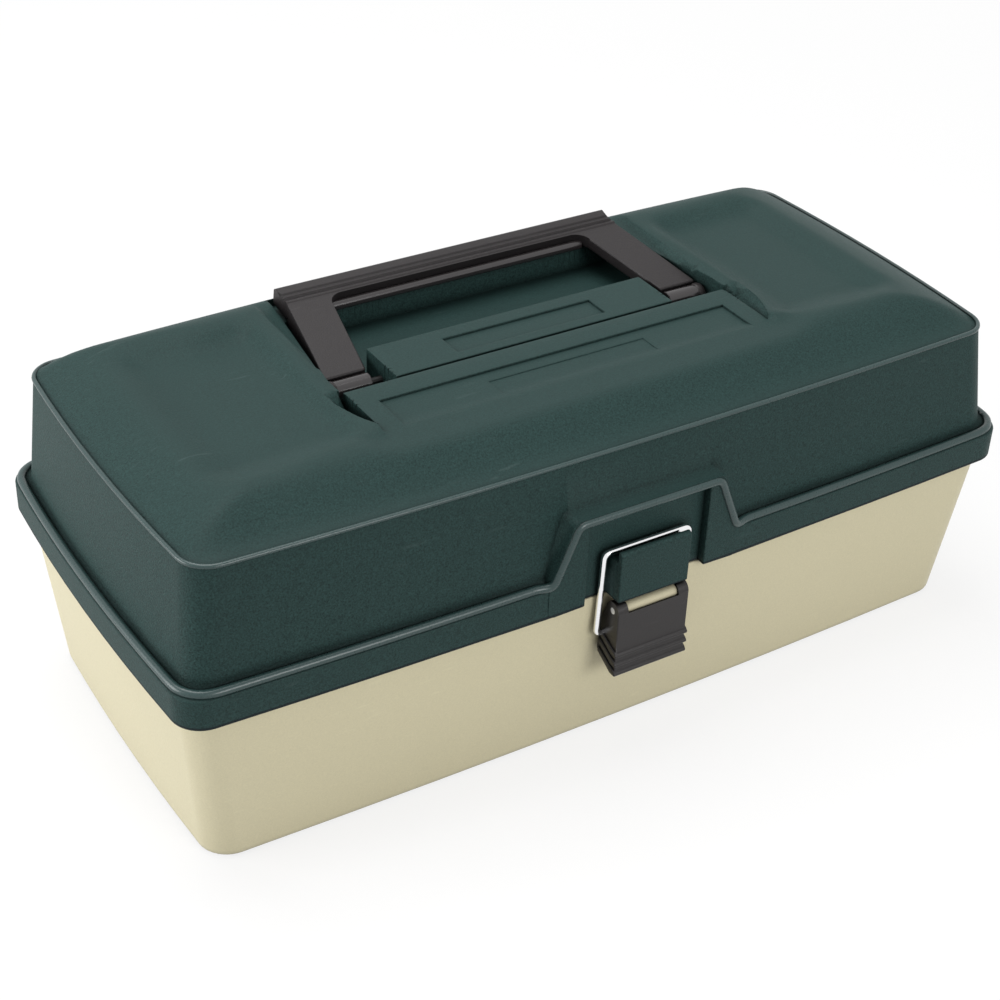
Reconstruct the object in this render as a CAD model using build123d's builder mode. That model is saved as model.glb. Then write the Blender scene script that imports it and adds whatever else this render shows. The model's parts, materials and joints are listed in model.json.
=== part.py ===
from build123d import *
from math import cos, radians, sin, sqrt

# A two-tray tackle box in millimetres. The origin is the middle of the base's underside,
# +X runs along the length, -Y is the latch side, +Y the hinge side and +Z is up.
# The lid is shut, the latch is closed and the handle is folded back.

# Outline of the lid's lip, from corner to corner
lip_length = 340.0
lip_depth = 152.0
long_bow = 3.7
end_bow = 3.0
lip_corner = 11.0

# Levels of the closed box, each measured from the one below it
lip_bottom = 65.6
rim_rise = 8.9
lip_height = 11.4
lip_step = 2.5
wall_height = 39.6
crown_rise = 11.5

# Insets from the lip's outline
foot_inset = 8.9
foot_end_inset = 10.1
base_top_inset = 3.5
wall_foot_inset = 4.6
shoulder_inset = 9.1
shoulder_rear_inset = 5.2
crown_front_inset = 34.0
crown_rear_inset = 26.0
crown_end_inset = 46.0

# The crown's sections: share of its rise, then of the front slope, then of the other slopes
crown_profile = ((0.0, 0.0, 0.0), (0.27, 0.33, 0.11), (0.83, 0.77, 0.52), (1.0, 1.0, 1.0))

# Walls
base_wall = 2.4
base_floor = 2.6
lid_wall = 2.4
lid_roof = 2.2
room_margin = 4.4
foot_round = 1.2
pin_depth = 1.0
pin_sides = 12
foot_bow_share = 0.7

# Gaps between pieces that meet or turn
seat_gap = 0.3
lip_gap = 0.6
rim_gap = 0.5
pin_clearance = 0.05
side_gap = 0.35
bead_step = 0.8
wall_overlap = 2.0
top_clear = 1.0

# Dished areas on each side of the handle, with drops measured from the crown
dish_arm_gap = 4.7
dish_end_room = 31.0
dish_front_y = -39.0
dish_back_y = 50.0
dish_drop = 4.2
dish_slope = 7.5
dish_corner = 9.0

# Handle
handle_pivot_y = 3.5
handle_pivot_drop = 9.6
handle_pitch = 9.0
arm_end_radius = 3.8
grip_length = 142.0
grip_front = 46.5
grip_width = 11.0
grip_rise = 4.2
grip_drop = 2.8
handle_arm_width = 16.3
handle_arm_splay = 8.3
handle_plate_rise = 3.8
handle_plate_drop = 0.6
handle_plate_end = 3.5
handle_flange = 3.2
handle_flange_radius = 4.2
handle_pin_radius = 1.6
handle_inner_corner = 6.0
grip_round = 1.6
grip_rib_pitch = 2.6
grip_rib_depth = 0.5
grip_rib_width = 0.9

# Raised panels between and in front of the handle's arms, with drops from the crown
well_side = 1.8
well_drop = 14.6
recess_drop = 14.2
trough_drop = 6.0
trough_margin = 4.0
trough_gap = 2.0
back_panel_gap = 5.0
back_panel_back = 14.5
panel_line = -8.6
front_panel_gap = 0.2
front_panel_front = -36.0
front_panel_drop = 1.8
back_panel_drop = 2.6
facet_depth = 6.5
facet_middle = 0.6
facet_shallow = 0.75
field_depth = 0.6
front_field_half = 71.5
front_field_back = -19.5
inner_field_half = 32.0
inner_field_back = -25.0
back_field_half = 31.0
back_field_back = 8.0
back_field_front = -2.5

# Latch plate and catch on the lid, with heights from the lip's bottom
plate_height = 36.2
plate_top_half = 31.0
plate_bottom_half = 40.0
plate_bevel = 0.6
plate_corner = 3.0
pocket_half = 25.0
pocket_height = 34.8
pocket_depth = 3.5
catch_half = 14.6
catch_low = 0.5
catch_high = 20.8
catch_depth = 8.4
catch_lip = 2.2
catch_channel = 4.2
catch_edge = 1.4

# Latch lever, its bail and their pins, with places from the lid's lip
lever_pivot_out = 2.3
lever_pivot_drop = 4.0
lever_barrel = 3.6
lever_half = 14.8
lever_length = 26.8
lever_front = 4.0
lever_skin = 2.2
lever_window_half = 10.6
lever_cheek = 3.4
lever_pin_radius = 1.2
lug_radius = 2.6
rib_height = 2.0
rib_pitch = 4.0
rib_rise = 0.7
rib_start = 1.2
rib_sweep = 4.5
rib_count = 3
lever_ear_reach = 2.2
lever_toe = 0.8
lever_toe_rise = 6.0
lever_room_reach = 8.0
bail_wire = 2.0
bail_half = 17.6
bail_pivot_in = 2.4
bail_pivot_drop = 11.8
bail_bar_in = 1.0
bail_bar_height = 18.7
bail_bend = 1.5
bail_sides = 12

# Lid hinge at the back
hinge_out = 6.0
hinge_rise = 0.5
hinge_end_room = 65.0
knuckle_radius = 3.2
knuckle_width = 9.0
knuckle_gap = 0.4
knuckle_sides = 12
hinge_pin_radius = 1.5
rear_notch_reach = 18.0
rear_corner_room = 21.0

# Trays, with their rooms measured from the lip's outline
tray_end_room = 17.0
tray_front_room = 11.5
tray_back_room = 51.5
tray_height = 27.0
tray_wall = 1.8
tray_corner = 5.0
lower_tray_drop = 21.6
tray_step = 29.5
tray_row = 50.5
divider_thick = 1.6
divider_shares = (-0.5, 0.0, 0.5)
divider_drop = 2.0
slot_depth = 1.0
tray_bead = 1.2

# Swing arms. Each carries the lower tray at one radius and the upper tray at twice that
# radius, and the lid carries the upper tray at the same crank, so every crank is parallel.
crank_length = 80.8
crank_angle = 8.0
upper_pin_height = 5.0
lower_pin_drop = 11.5
front_arm_room = 54.0
rear_arm_room = 26.0
arm_thick = 1.6
arm_half_width = 4.2
arm_end_sides = 8
rear_arm_gap = 1.2
arm_layer_gap = 1.2
rivet_radius = 1.8
rivet_head_radius = 3.4
rivet_head = 0.7
rivet_sides = 8
neck_half = 1.1
neck_depth = 3.6
lid_pin_radius = 1.8
boss_half = 4.2
lid_boss_gap = 1.4

half_length = lip_length / 2
half_depth = lip_depth / 2
rim_top = lip_bottom + rim_rise
lip_top = lip_bottom + lip_height
wall_foot = lip_top + lip_step
shoulder = wall_foot + wall_height
crown = shoulder + crown_rise
handle_pivot_z = crown - handle_pivot_drop
arm_end_outer = grip_length / 2 + handle_arm_splay
dish_inner_x = arm_end_outer + dish_arm_gap
front_panel_half = arm_end_outer + front_panel_gap
back_panel_half = arm_end_outer - handle_arm_width - back_panel_gap
front_panel_top = crown - front_panel_drop
back_panel_top = crown - back_panel_drop
dish_floor = crown - dish_drop
dish_outer_x = half_length - dish_end_room

front_face = -(half_depth + long_bow)
pocket_face = front_face + pocket_depth
catch_face = pocket_face - catch_depth
catch_bottom = lip_bottom + catch_low
catch_top = lip_bottom + catch_high
plate_top = lip_bottom + plate_height
plate_root_y = -(half_depth - shoulder_inset + 1)
lever_pivot_y = front_face - lever_pivot_out
lever_pivot_z = lip_bottom - lever_pivot_drop
bail_pivot_y = front_face + bail_pivot_in
bail_pivot_z = lever_pivot_z - bail_pivot_drop
bail_bar_y = front_face + bail_bar_in
bail_bar_z = lip_bottom + bail_bar_height

hinge_x = half_length - hinge_end_room
hinge_y = half_depth + hinge_out
hinge_z = rim_top + hinge_rise
rear_notch_start = half_depth - rear_notch_reach
rear_gap_half = half_length - rear_corner_room

tray_half = half_length - tray_end_room
tray_front = -(half_depth - tray_front_room)
tray_back = half_depth - tray_back_room
tray_row_y = tray_front + tray_row
lower_tray_floor = lip_bottom - lower_tray_drop
upper_tray_floor = lower_tray_floor + tray_step
front_arm_y = half_depth - front_arm_room
rear_arm_y = half_depth - rear_arm_room
upper_pin_z = upper_tray_floor + upper_pin_height
crank_back = crank_length * cos(radians(crank_angle))
crank_rise = crank_length * sin(radians(crank_angle))
arm_pivot_z = upper_pin_z - crank_rise
lower_pin_z = upper_pin_z - lower_pin_drop
lower_crank = crank_length / 2
lower_pin_back = sqrt(lower_crank ** 2 - (arm_pivot_z - lower_pin_z) ** 2)
lid_pin_y = hinge_y - crank_back
lid_pin_z = hinge_z + crank_rise
rear_arm_face = tray_half + rear_arm_gap
front_arm_face = rear_arm_face + arm_thick + arm_layer_gap
neck_hole = neck_half + pin_clearance


def bowed_outline(level, inset, share=1.0, corner=lip_corner, end=None, rear=None):
    """The box's outline at a level: four walls that swell outward, with rounded corners.

    The inset is that of the front wall. The ends and the rear wall share it unless they
    have their own.
    """
    x = half_length - (inset if end is None else end)
    front = half_depth - inset
    back = half_depth - (inset if rear is None else rear)
    middle = (back - front) / 2
    bow = long_bow * share
    with BuildSketch(Plane.XY.offset(level)) as outline:
        with BuildLine():
            ThreePointArc((-x, -front), (0, -front - bow), (x, -front))
            ThreePointArc((x, -front), (x + end_bow * share, middle), (x, back))
            ThreePointArc((x, back), (0, back + bow), (-x, back))
            ThreePointArc((-x, back), (-x - end_bow * share, middle), (-x, -front))
        make_face()
        fillet(outline.vertices(), corner)
    return outline.sketch


def foot_outline(level, inward):
    """The base wall's outline at a level near the floor, moved inward by a distance."""
    share = level / lip_bottom
    front = foot_inset + (base_top_inset - foot_inset) * share + inward
    end = foot_end_inset + (base_top_inset - foot_end_inset) * share + inward
    bow = foot_bow_share + (1 - foot_bow_share) * share
    corner = lip_corner - (inward if level > foot_round else 0)
    return bowed_outline(level, front, bow, corner, end)


def lid_inset(level):
    """The lid wall's inset from the lip's outline at a level."""
    share = (level - wall_foot) / (shoulder - wall_foot)
    return wall_foot_inset + (shoulder_inset - wall_foot_inset) * share


def rounded_block(x_range, y_range, z_range, corner, slope=0.0, mode=Mode.SUBTRACT):
    """A block with rounded upright edges, wider at its top by slope on each side."""
    width = x_range[1] - x_range[0]
    depth = y_range[1] - y_range[0]
    middle = ((x_range[0] + x_range[1]) / 2, (y_range[0] + y_range[1]) / 2)
    with BuildSketch(Plane.XY.offset(z_range[0])) as low:
        with Locations(middle):
            RectangleRounded(width - 2 * slope, depth - 2 * slope, corner)
    with BuildSketch(Plane.XY.offset(z_range[1])) as high:
        with Locations(middle):
            RectangleRounded(width, depth, corner)
    loft([low.sketch, high.sketch], ruled=True, mode=mode)


def x_cylinder(x_range, y, z, radius, mode=Mode.ADD):
    """A round bar or bore along X between two places."""
    with BuildSketch(Plane.YZ.offset(x_range[0])) as disc:
        with Locations((y, z)):
            Circle(radius)
    extrude(disc.sketch, amount=x_range[1] - x_range[0], mode=mode)


def prism(x_range, y, z, radius, sides, mode=Mode.ADD):
    """A many-sided bar or socket along X, for small forms that repeat."""
    with BuildSketch(Plane.YZ.offset(x_range[0])) as outline:
        with Locations((y, z)):
            RegularPolygon(radius, sides)
    extrude(outline.sketch, amount=x_range[1] - x_range[0], mode=mode)


def socket(x_range, y, z, radius):
    """A many-sided hole along X in which a bar of this radius just turns."""
    across = (radius + pin_clearance) / cos(radians(180 / pin_sides))
    prism(x_range, y, z, across, pin_sides, Mode.SUBTRACT)


def side_profile(points, x_low, x_high, mode=Mode.ADD):
    """A prism along X whose outline is drawn in the box's end view."""
    with BuildSketch(Plane.YZ.offset(x_low)) as profile:
        with BuildLine():
            Polyline(*points, close=True)
        make_face()
    extrude(profile.sketch, amount=x_high - x_low, mode=mode)


def box_between(x_range, y_range, z_range, mode=Mode.ADD):
    """A square-edged block between two corners."""
    middle = [(low + high) / 2 for low, high in (x_range, y_range, z_range)]
    sizes = [high - low for low, high in (x_range, y_range, z_range)]
    with Locations(tuple(middle)):
        Box(*sizes, mode=mode)


def save(piece, label):
    """Name a finished piece and write it to its own file."""
    piece.part.label = label
    export_step(piece.part, f"parts/{label}.step")


# Base tub: the lower bin, with its lug for the lever, knuckles for the lid and arm bosses
boss_end = half_length + end_bow - base_top_inset - base_wall / 2
with BuildPart() as base_tub:
    loft(
        [
            foot_outline(0, foot_round),
            foot_outline(foot_round, 0),
            bowed_outline(lip_bottom, base_top_inset),
        ],
        ruled=True,
    )
    extrude(bowed_outline(lip_bottom, base_top_inset), amount=rim_top - lip_bottom)
    loft(
        [
            foot_outline(base_floor, base_wall),
            bowed_outline(rim_top, base_top_inset + base_wall, 1.0, lip_corner - base_wall),
        ],
        ruled=True,
        mode=Mode.SUBTRACT,
    )
    # The rim is cut down where the lid's latch plate and rear corners swing past it
    plate_notch = pocket_half + seat_gap + base_wall
    box_between(
        (-plate_notch, plate_notch),
        (front_face, -half_depth + base_wall * 2),
        (lip_bottom - seat_gap, rim_top),
        Mode.SUBTRACT,
    )
    for side in (-1, 1):
        near, far = sorted((side * (rear_gap_half - seat_gap), side * (half_length + end_bow)))
        box_between(
            (near, far),
            (rear_notch_start - seat_gap, half_depth + long_bow),
            (lip_bottom - seat_gap, rim_top),
            Mode.SUBTRACT,
        )
    # Lug that carries the latch lever
    lug_half = lever_window_half - pin_clearance
    lug_top = lever_pivot_z + lug_radius / 2
    lug_low = lever_pivot_z - lug_radius
    lug_root = -half_depth + base_wall
    side_profile(
        [
            (lug_root, lug_top),
            (lever_pivot_y, lug_top),
            (lever_pivot_y, lug_low),
            (lug_root, lug_low - lug_radius),
        ],
        -lug_half,
        lug_half,
    )
    x_cylinder((-lug_half, lug_half), lever_pivot_y, lever_pivot_z, lug_radius)
    socket((-lug_half, lug_half), lever_pivot_y, lever_pivot_z, lever_pin_radius)
    # Trim away what the lug pushed through the wall into the bin
    box_between(
        (-lug_half, lug_half),
        (lug_root - base_wall / 2, 0),
        (lug_low - 2 * lug_radius, lug_top),
        Mode.SUBTRACT,
    )
    # Two outer knuckles of each lid hinge, with webs from the rear wall
    web_root = half_depth - base_top_inset - base_wall / 2
    for place in (-hinge_x, hinge_x):
        for side in (-1, 1):
            middle = place + side * (knuckle_width + knuckle_gap)
            span = (middle - knuckle_width / 2, middle + knuckle_width / 2)
            prism(span, hinge_y, hinge_z, knuckle_radius, knuckle_sides)
            side_profile(
                [
                    (web_root, rim_top - knuckle_radius * 3),
                    (web_root, rim_top - seat_gap),
                    (hinge_y - knuckle_radius / 2, rim_top - seat_gap),
                    (hinge_y, hinge_z - knuckle_radius),
                ],
                span[0],
                span[1],
            )
            socket(span, hinge_y, hinge_z, hinge_pin_radius)
    # Bosses inside the end walls, with square holes for the rivets of the swing arms
    for side in (-1, 1):
        for pivot_y, face in ((front_arm_y, front_arm_face), (rear_arm_y, rear_arm_face)):
            inner = face + arm_thick + side_gap
            box_between(
                sorted((side * inner, side * boss_end)),
                (pivot_y - boss_half, pivot_y + boss_half),
                (arm_pivot_z - boss_half, arm_pivot_z + boss_half),
            )
            box_between(
                sorted((side * inner, side * (inner + neck_depth))),
                (pivot_y - neck_hole, pivot_y + neck_hole),
                (arm_pivot_z - neck_hole, arm_pivot_z + neck_hole),
                Mode.SUBTRACT,
            )
save(base_tub, "base_tub")


def carve_top(grow, corner):
    """Cut the dishes, the handle's wells, the finger recess and the panels' tops."""
    top = crown + top_clear
    for side in (-1, 1):
        near, far = sorted((side * (dish_inner_x - grow), side * (dish_outer_x + grow)))
        rounded_block(
            (near, far),
            (dish_front_y - grow, dish_back_y + grow),
            (dish_floor - grow, top),
            corner,
            dish_slope * (top - dish_floor) / (top - dish_floor + grow),
        )
        # Channel in which a handle arm lies, with the pocket for its pivot
        inner = back_panel_half - grow
        outer = dish_inner_x - well_side + grow
        near, far = sorted((side * inner, side * outer))
        box_between(
            (near, far),
            (panel_line - grow, grip_front + handle_pivot_y + grow),
            (crown - well_drop - grow, top),
            Mode.SUBTRACT,
        )
        # Curved facet beside the front panel
        near, far = sorted((side * (front_panel_half - grow), side * (outer + wall_overlap)))
        side_profile(
            [
                (panel_line - grow, top),
                (panel_line - grow, front_panel_top - facet_depth - grow),
                (
                    front_panel_front * facet_middle,
                    front_panel_top - facet_depth * facet_shallow - grow,
                ),
                (front_panel_front, front_panel_top - grow),
                (front_panel_front, top),
            ],
            near,
            far,
            Mode.SUBTRACT,
        )
    # Recess for the fingers behind the back panel, and the trough under the grip
    box_between(
        (-back_panel_half - wall_overlap, back_panel_half + wall_overlap),
        (back_panel_back - grow, grip_front + handle_pivot_y + grow),
        (crown - recess_drop - grow, top),
        Mode.SUBTRACT,
    )
    trough_half = grip_length / 2 + trough_margin + grow
    trough_back = grip_front + handle_pivot_y + grip_width + trough_gap + grow
    box_between(
        (-trough_half, trough_half),
        (grip_front - trough_gap - grow, trough_back),
        (crown - trough_drop - grow, top),
        Mode.SUBTRACT,
    )
    # Flat tops of the two panels, a little below the crown
    box_between(
        (-front_panel_half, front_panel_half),
        (front_panel_front, panel_line),
        (front_panel_top - grow, top),
        Mode.SUBTRACT,
    )
    box_between(
        (-back_panel_half, back_panel_half),
        (panel_line - grow, back_panel_back),
        (back_panel_top - grow, top),
        Mode.SUBTRACT,
    )


def field(half, front_y, back_y, top, depth):
    """A shallow rectangular field sunk into the top of a panel."""
    box_between((-half, half), (front_y, back_y), (top - depth, top + top_clear), Mode.SUBTRACT)


def crown_sections():
    """Outlines of the lid's top, from the shoulder's bead to the flat of the crown."""
    sections = []
    for rise, front_share, other_share in crown_profile:
        slopes = (
            (shoulder_inset, crown_front_inset, front_share),
            (shoulder_inset, crown_end_inset, other_share),
            (shoulder_rear_inset, crown_rear_inset, other_share),
        )
        front, end, rear = [
            low + (high - low) * share + bead_step * (1 - share)
            for low, high, share in slopes
        ]
        level = shoulder + crown_rise * rise
        sections.append(bowed_outline(level, front, end=end, rear=rear))
    return sections


def rectangle(half_width, front, rear, level):
    """A square-cornered outline at a level."""
    with BuildSketch(Plane.XY.offset(level)) as outline:
        with Locations((0, (front + rear) / 2)):
            Rectangle(2 * half_width, rear - front)
    return outline.sketch


def shoulder_outline(level, wall):
    """The outline of the lid's wall at the shoulder, or of the room inside it."""
    return bowed_outline(
        level, shoulder_inset + wall, 1.0, lip_corner - wall, rear=shoulder_rear_inset + wall
    )


# Room inside the lid, kept as its own solid so that the walls stay even
with BuildPart() as lid_room:
    loft(
        [
            bowed_outline(
                rim_top + rim_gap, wall_foot_inset + lid_wall, 1.0, lip_corner - lid_wall
            ),
            shoulder_outline(shoulder - lid_roof, lid_wall),
        ],
        ruled=True,
    )
    # Under the crown the room is a plain tapered block
    room_end = half_length - shoulder_inset - room_margin
    room_front = -(half_depth - shoulder_inset - room_margin)
    room_rear = half_depth - shoulder_rear_inset - room_margin
    top_end = half_length - crown_end_inset - lid_wall
    top_front = -(half_depth - crown_front_inset - lid_wall)
    top_rear = half_depth - crown_rear_inset - lid_wall
    loft(
        [
            rectangle(room_end, room_front, room_rear, shoulder - lid_roof),
            rectangle(top_end, top_front, top_rear, crown - lid_roof),
        ],
        ruled=True,
    )
    carve_top(lid_roof, seat_gap)

def plate_outline(y, grow):
    """The latch plate's outline, drawn in the front view at a given depth."""
    with BuildSketch(Plane.XZ.offset(-y)) as plate:
        with BuildLine():
            Polyline(
                (-plate_bottom_half - grow, lip_bottom),
                (-plate_bottom_half - grow, lip_top),
                (-plate_top_half - grow, plate_top + grow),
                (plate_top_half + grow, plate_top + grow),
                (plate_bottom_half + grow, lip_top),
                (plate_bottom_half + grow, lip_bottom),
                close=True,
            )
        make_face()
        fillet(plate.vertices().group_by(Axis.Z)[-1], plate_corner)
    return plate.sketch


# Lid shell: lip, walls, crown, panels, latch plate and catch in one moulding
pin_inner = back_panel_half - lid_roof
pin_outer = dish_inner_x - well_side + lid_roof
lid_end_inner = half_length + end_bow - lid_inset(lid_pin_z) - lid_wall / 2
with BuildPart() as lid_shell:
    extrude(bowed_outline(lip_bottom, 0), amount=lip_top - lip_bottom)
    loft([bowed_outline(lip_top, 0), bowed_outline(wall_foot, wall_foot_inset)], ruled=True)
    loft(
        [bowed_outline(wall_foot, wall_foot_inset), shoulder_outline(shoulder, 0)],
        ruled=True,
    )
    loft(crown_sections(), ruled=True)
    carve_top(0, dish_corner)
    field(front_field_half, front_panel_front, front_field_back, front_panel_top, field_depth)
    field(
        inner_field_half,
        front_panel_front,
        inner_field_back,
        front_panel_top - field_depth,
        field_depth / 2,
    )
    field(back_field_half, back_field_front, back_field_back, back_panel_top, field_depth)
    # Plate round the latch, flush with the lip, bevelled back to the wall
    loft([plate_outline(front_face, 0), plate_outline(plate_root_y, plate_bevel)], ruled=True)
    box_between(
        (-pocket_half, pocket_half),
        (front_face - wall_overlap, pocket_face),
        (lip_bottom - wall_overlap, lip_bottom + pocket_height),
        Mode.SUBTRACT,
    )
    # Hollow under the lip and the lid's inside
    extrude(
        bowed_outline(lip_bottom, base_top_inset - lip_gap, 1.0, lip_corner - base_top_inset + lip_gap),
        amount=rim_top + rim_gap - lip_bottom,
        mode=Mode.SUBTRACT,
    )
    add(lid_room.part, mode=Mode.SUBTRACT)
    # The sunk panel carries on down to the lip's bottom edge
    box_between(
        (-pocket_half - lid_wall, pocket_half + lid_wall),
        (pocket_face, pocket_face + lid_wall),
        (lip_bottom, rim_top + lid_wall * 2),
    )
    for side in (-1, 1):
        near, far = sorted((side * pocket_half, side * (pocket_half + lid_wall)))
        box_between(
            (near, far), (front_face, pocket_face + lid_wall), (lip_bottom, rim_top + lid_wall)
        )
    # Catch, with the channel that the bail's bar drops into
    side_profile(
        [
            (pocket_face + lid_wall / 2, catch_bottom),
            (catch_face, catch_bottom),
            (catch_face, catch_top - catch_edge),
            (catch_face + catch_edge / 2, catch_top),
            (catch_face + catch_lip, catch_top),
            (catch_face + catch_lip, catch_top - catch_channel),
            (pocket_face + lid_wall / 2, catch_top - catch_channel),
        ],
        -catch_half,
        catch_half,
    )
    # The rear lip is cut away between its corners, where the hinges lie
    box_between(
        (-rear_gap_half, rear_gap_half),
        (rear_notch_start, half_depth + long_bow + wall_overlap),
        (lip_bottom - wall_overlap, rim_top + rim_gap),
        Mode.SUBTRACT,
    )
    # Middle knuckle of each hinge
    for place in (-hinge_x, hinge_x):
        span = (place - knuckle_width / 2, place + knuckle_width / 2)
        prism(span, hinge_y, hinge_z, knuckle_radius, knuckle_sides)
        side_profile(
            [
                (hinge_y, hinge_z),
                (hinge_y, hinge_z + knuckle_radius),
                (half_depth - wall_foot_inset / 2, wall_foot),
                (half_depth - wall_foot_inset / 2, rim_top + rim_gap),
            ],
            span[0],
            span[1],
        )
        socket(span, hinge_y, hinge_z, hinge_pin_radius)
    # Bosses that carry the upper tray, and bores for the handle's pins
    for side in (-1, 1):
        box_between(
            sorted((side * (tray_half + lid_boss_gap), side * lid_end_inner)),
            (lid_pin_y - boss_half, lid_pin_y + boss_half),
            (lid_pin_z - boss_half, lid_pin_z + boss_half),
        )
        low, high = sorted((side * (tray_half + side_gap), side * (lid_end_inner - pin_depth)))
        socket((low, high), lid_pin_y, lid_pin_z, lid_pin_radius)
        low, high = sorted((side * (pin_inner - seat_gap), side * (pin_outer + seat_gap)))
        socket((low, high), handle_pivot_y, handle_pivot_z, handle_pin_radius)
save(lid_shell, "lid_shell")

# Handle: grip and two cranked arms in one moulding, lying back on the lid
pitch = radians(handle_pitch)
handle_plane = Plane(
    origin=(0, handle_pivot_y, handle_pivot_z),
    x_dir=(1, 0, 0),
    z_dir=(0, -sin(pitch), cos(pitch)),
)
grip_half = grip_length / 2
grip_back = grip_front + grip_width
plate_end_outer = arm_end_outer - handle_arm_splay * handle_plate_end / grip_front
arm_inner_half = grip_half - handle_arm_width + wall_overlap
with BuildPart() as handle:
    with BuildSketch(handle_plane.offset(-handle_plate_drop)) as frame:
        with BuildLine():
            Polyline(
                (-grip_half, grip_back - grip_round),
                (grip_half, grip_back - grip_round),
                (grip_half, grip_front),
                (plate_end_outer, handle_plate_end),
                (plate_end_outer - handle_arm_width, handle_plate_end),
                (grip_half - handle_arm_width, grip_front),
                (-grip_half + handle_arm_width, grip_front),
                (-plate_end_outer + handle_arm_width, handle_plate_end),
                (-plate_end_outer, handle_plate_end),
                (-grip_half, grip_front),
                close=True,
            )
        make_face()
        inner_corners = frame.vertices().filter_by_position(
            Axis.X, -arm_inner_half, arm_inner_half
        )
        fillet(inner_corners, handle_inner_corner)
    extrude(frame.sketch, amount=handle_plate_drop + handle_plate_rise)
    # Grip bar, thicker than the arms, with rounded long edges and fine grooves
    grip_end = handle_plane.from_local_coords(
        (-grip_half, (grip_front + grip_back) / 2, (grip_rise - grip_drop) / 2)
    )
    with BuildSketch(Plane(origin=grip_end, x_dir=handle_plane.y_dir, z_dir=(1, 0, 0))) as bar:
        RectangleRounded(grip_width, grip_rise + grip_drop, grip_round)
    extrude(bar.sketch, amount=grip_length)
    with BuildSketch(handle_plane.offset(grip_rise - grip_rib_depth)) as grooves:
        with Locations((0, grip_front + grip_rib_pitch), (0, grip_front + 2 * grip_rib_pitch)):
            Rectangle(grip_length, grip_rib_width)
    extrude(grooves.sketch, amount=grip_rib_depth * 2, mode=Mode.SUBTRACT)
    for side in (-1, 1):
        # Flange down the arm's outer edge
        with BuildSketch(handle_plane.offset(-arm_end_radius)) as flange:
            with BuildLine():
                Polyline(
                    (side * arm_end_outer, 0),
                    (side * grip_half, grip_front),
                    (side * (grip_half - handle_flange), grip_front),
                    (side * (arm_end_outer - handle_flange), 0),
                    close=True,
                )
            make_face()
        extrude(flange.sketch, amount=arm_end_radius + handle_plate_rise / 2)
        # Barrel round the pivot pin
        low, high = sorted((side * arm_end_outer, side * (arm_end_outer - handle_arm_width)))
        x_cylinder((low, high), handle_pivot_y, handle_pivot_z, arm_end_radius)
        prism(
            sorted((side * arm_end_outer, side * (arm_end_outer - handle_flange))),
            handle_pivot_y,
            handle_pivot_z,
            handle_flange_radius,
            pin_sides,
        )
        x_cylinder(
            (low - handle_flange, high + handle_flange),
            handle_pivot_y,
            handle_pivot_z,
            handle_pin_radius + pin_clearance,
            Mode.SUBTRACT,
        )
save(handle, "handle")

# Handle pins, one for each arm, held in the walls of its well
for side, name in ((-1, "handle_pin_left"), (1, "handle_pin_right")):
    with BuildPart() as handle_pin:
        low, high = sorted((side * pin_inner, side * pin_outer))
        prism((low, high), handle_pivot_y, handle_pivot_z, handle_pin_radius, pin_sides)
    save(handle_pin, name)

# Hinge pins of the lid
hinge_span = 3 * knuckle_width + 2 * knuckle_gap
for place, name in ((-hinge_x, "hinge_pin_left"), (hinge_x, "hinge_pin_right")):
    with BuildPart() as hinge_pin:
        x_cylinder(
            (place - hinge_span / 2, place + hinge_span / 2),
            hinge_y,
            hinge_z,
            hinge_pin_radius,
        )
    save(hinge_pin, name)

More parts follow.
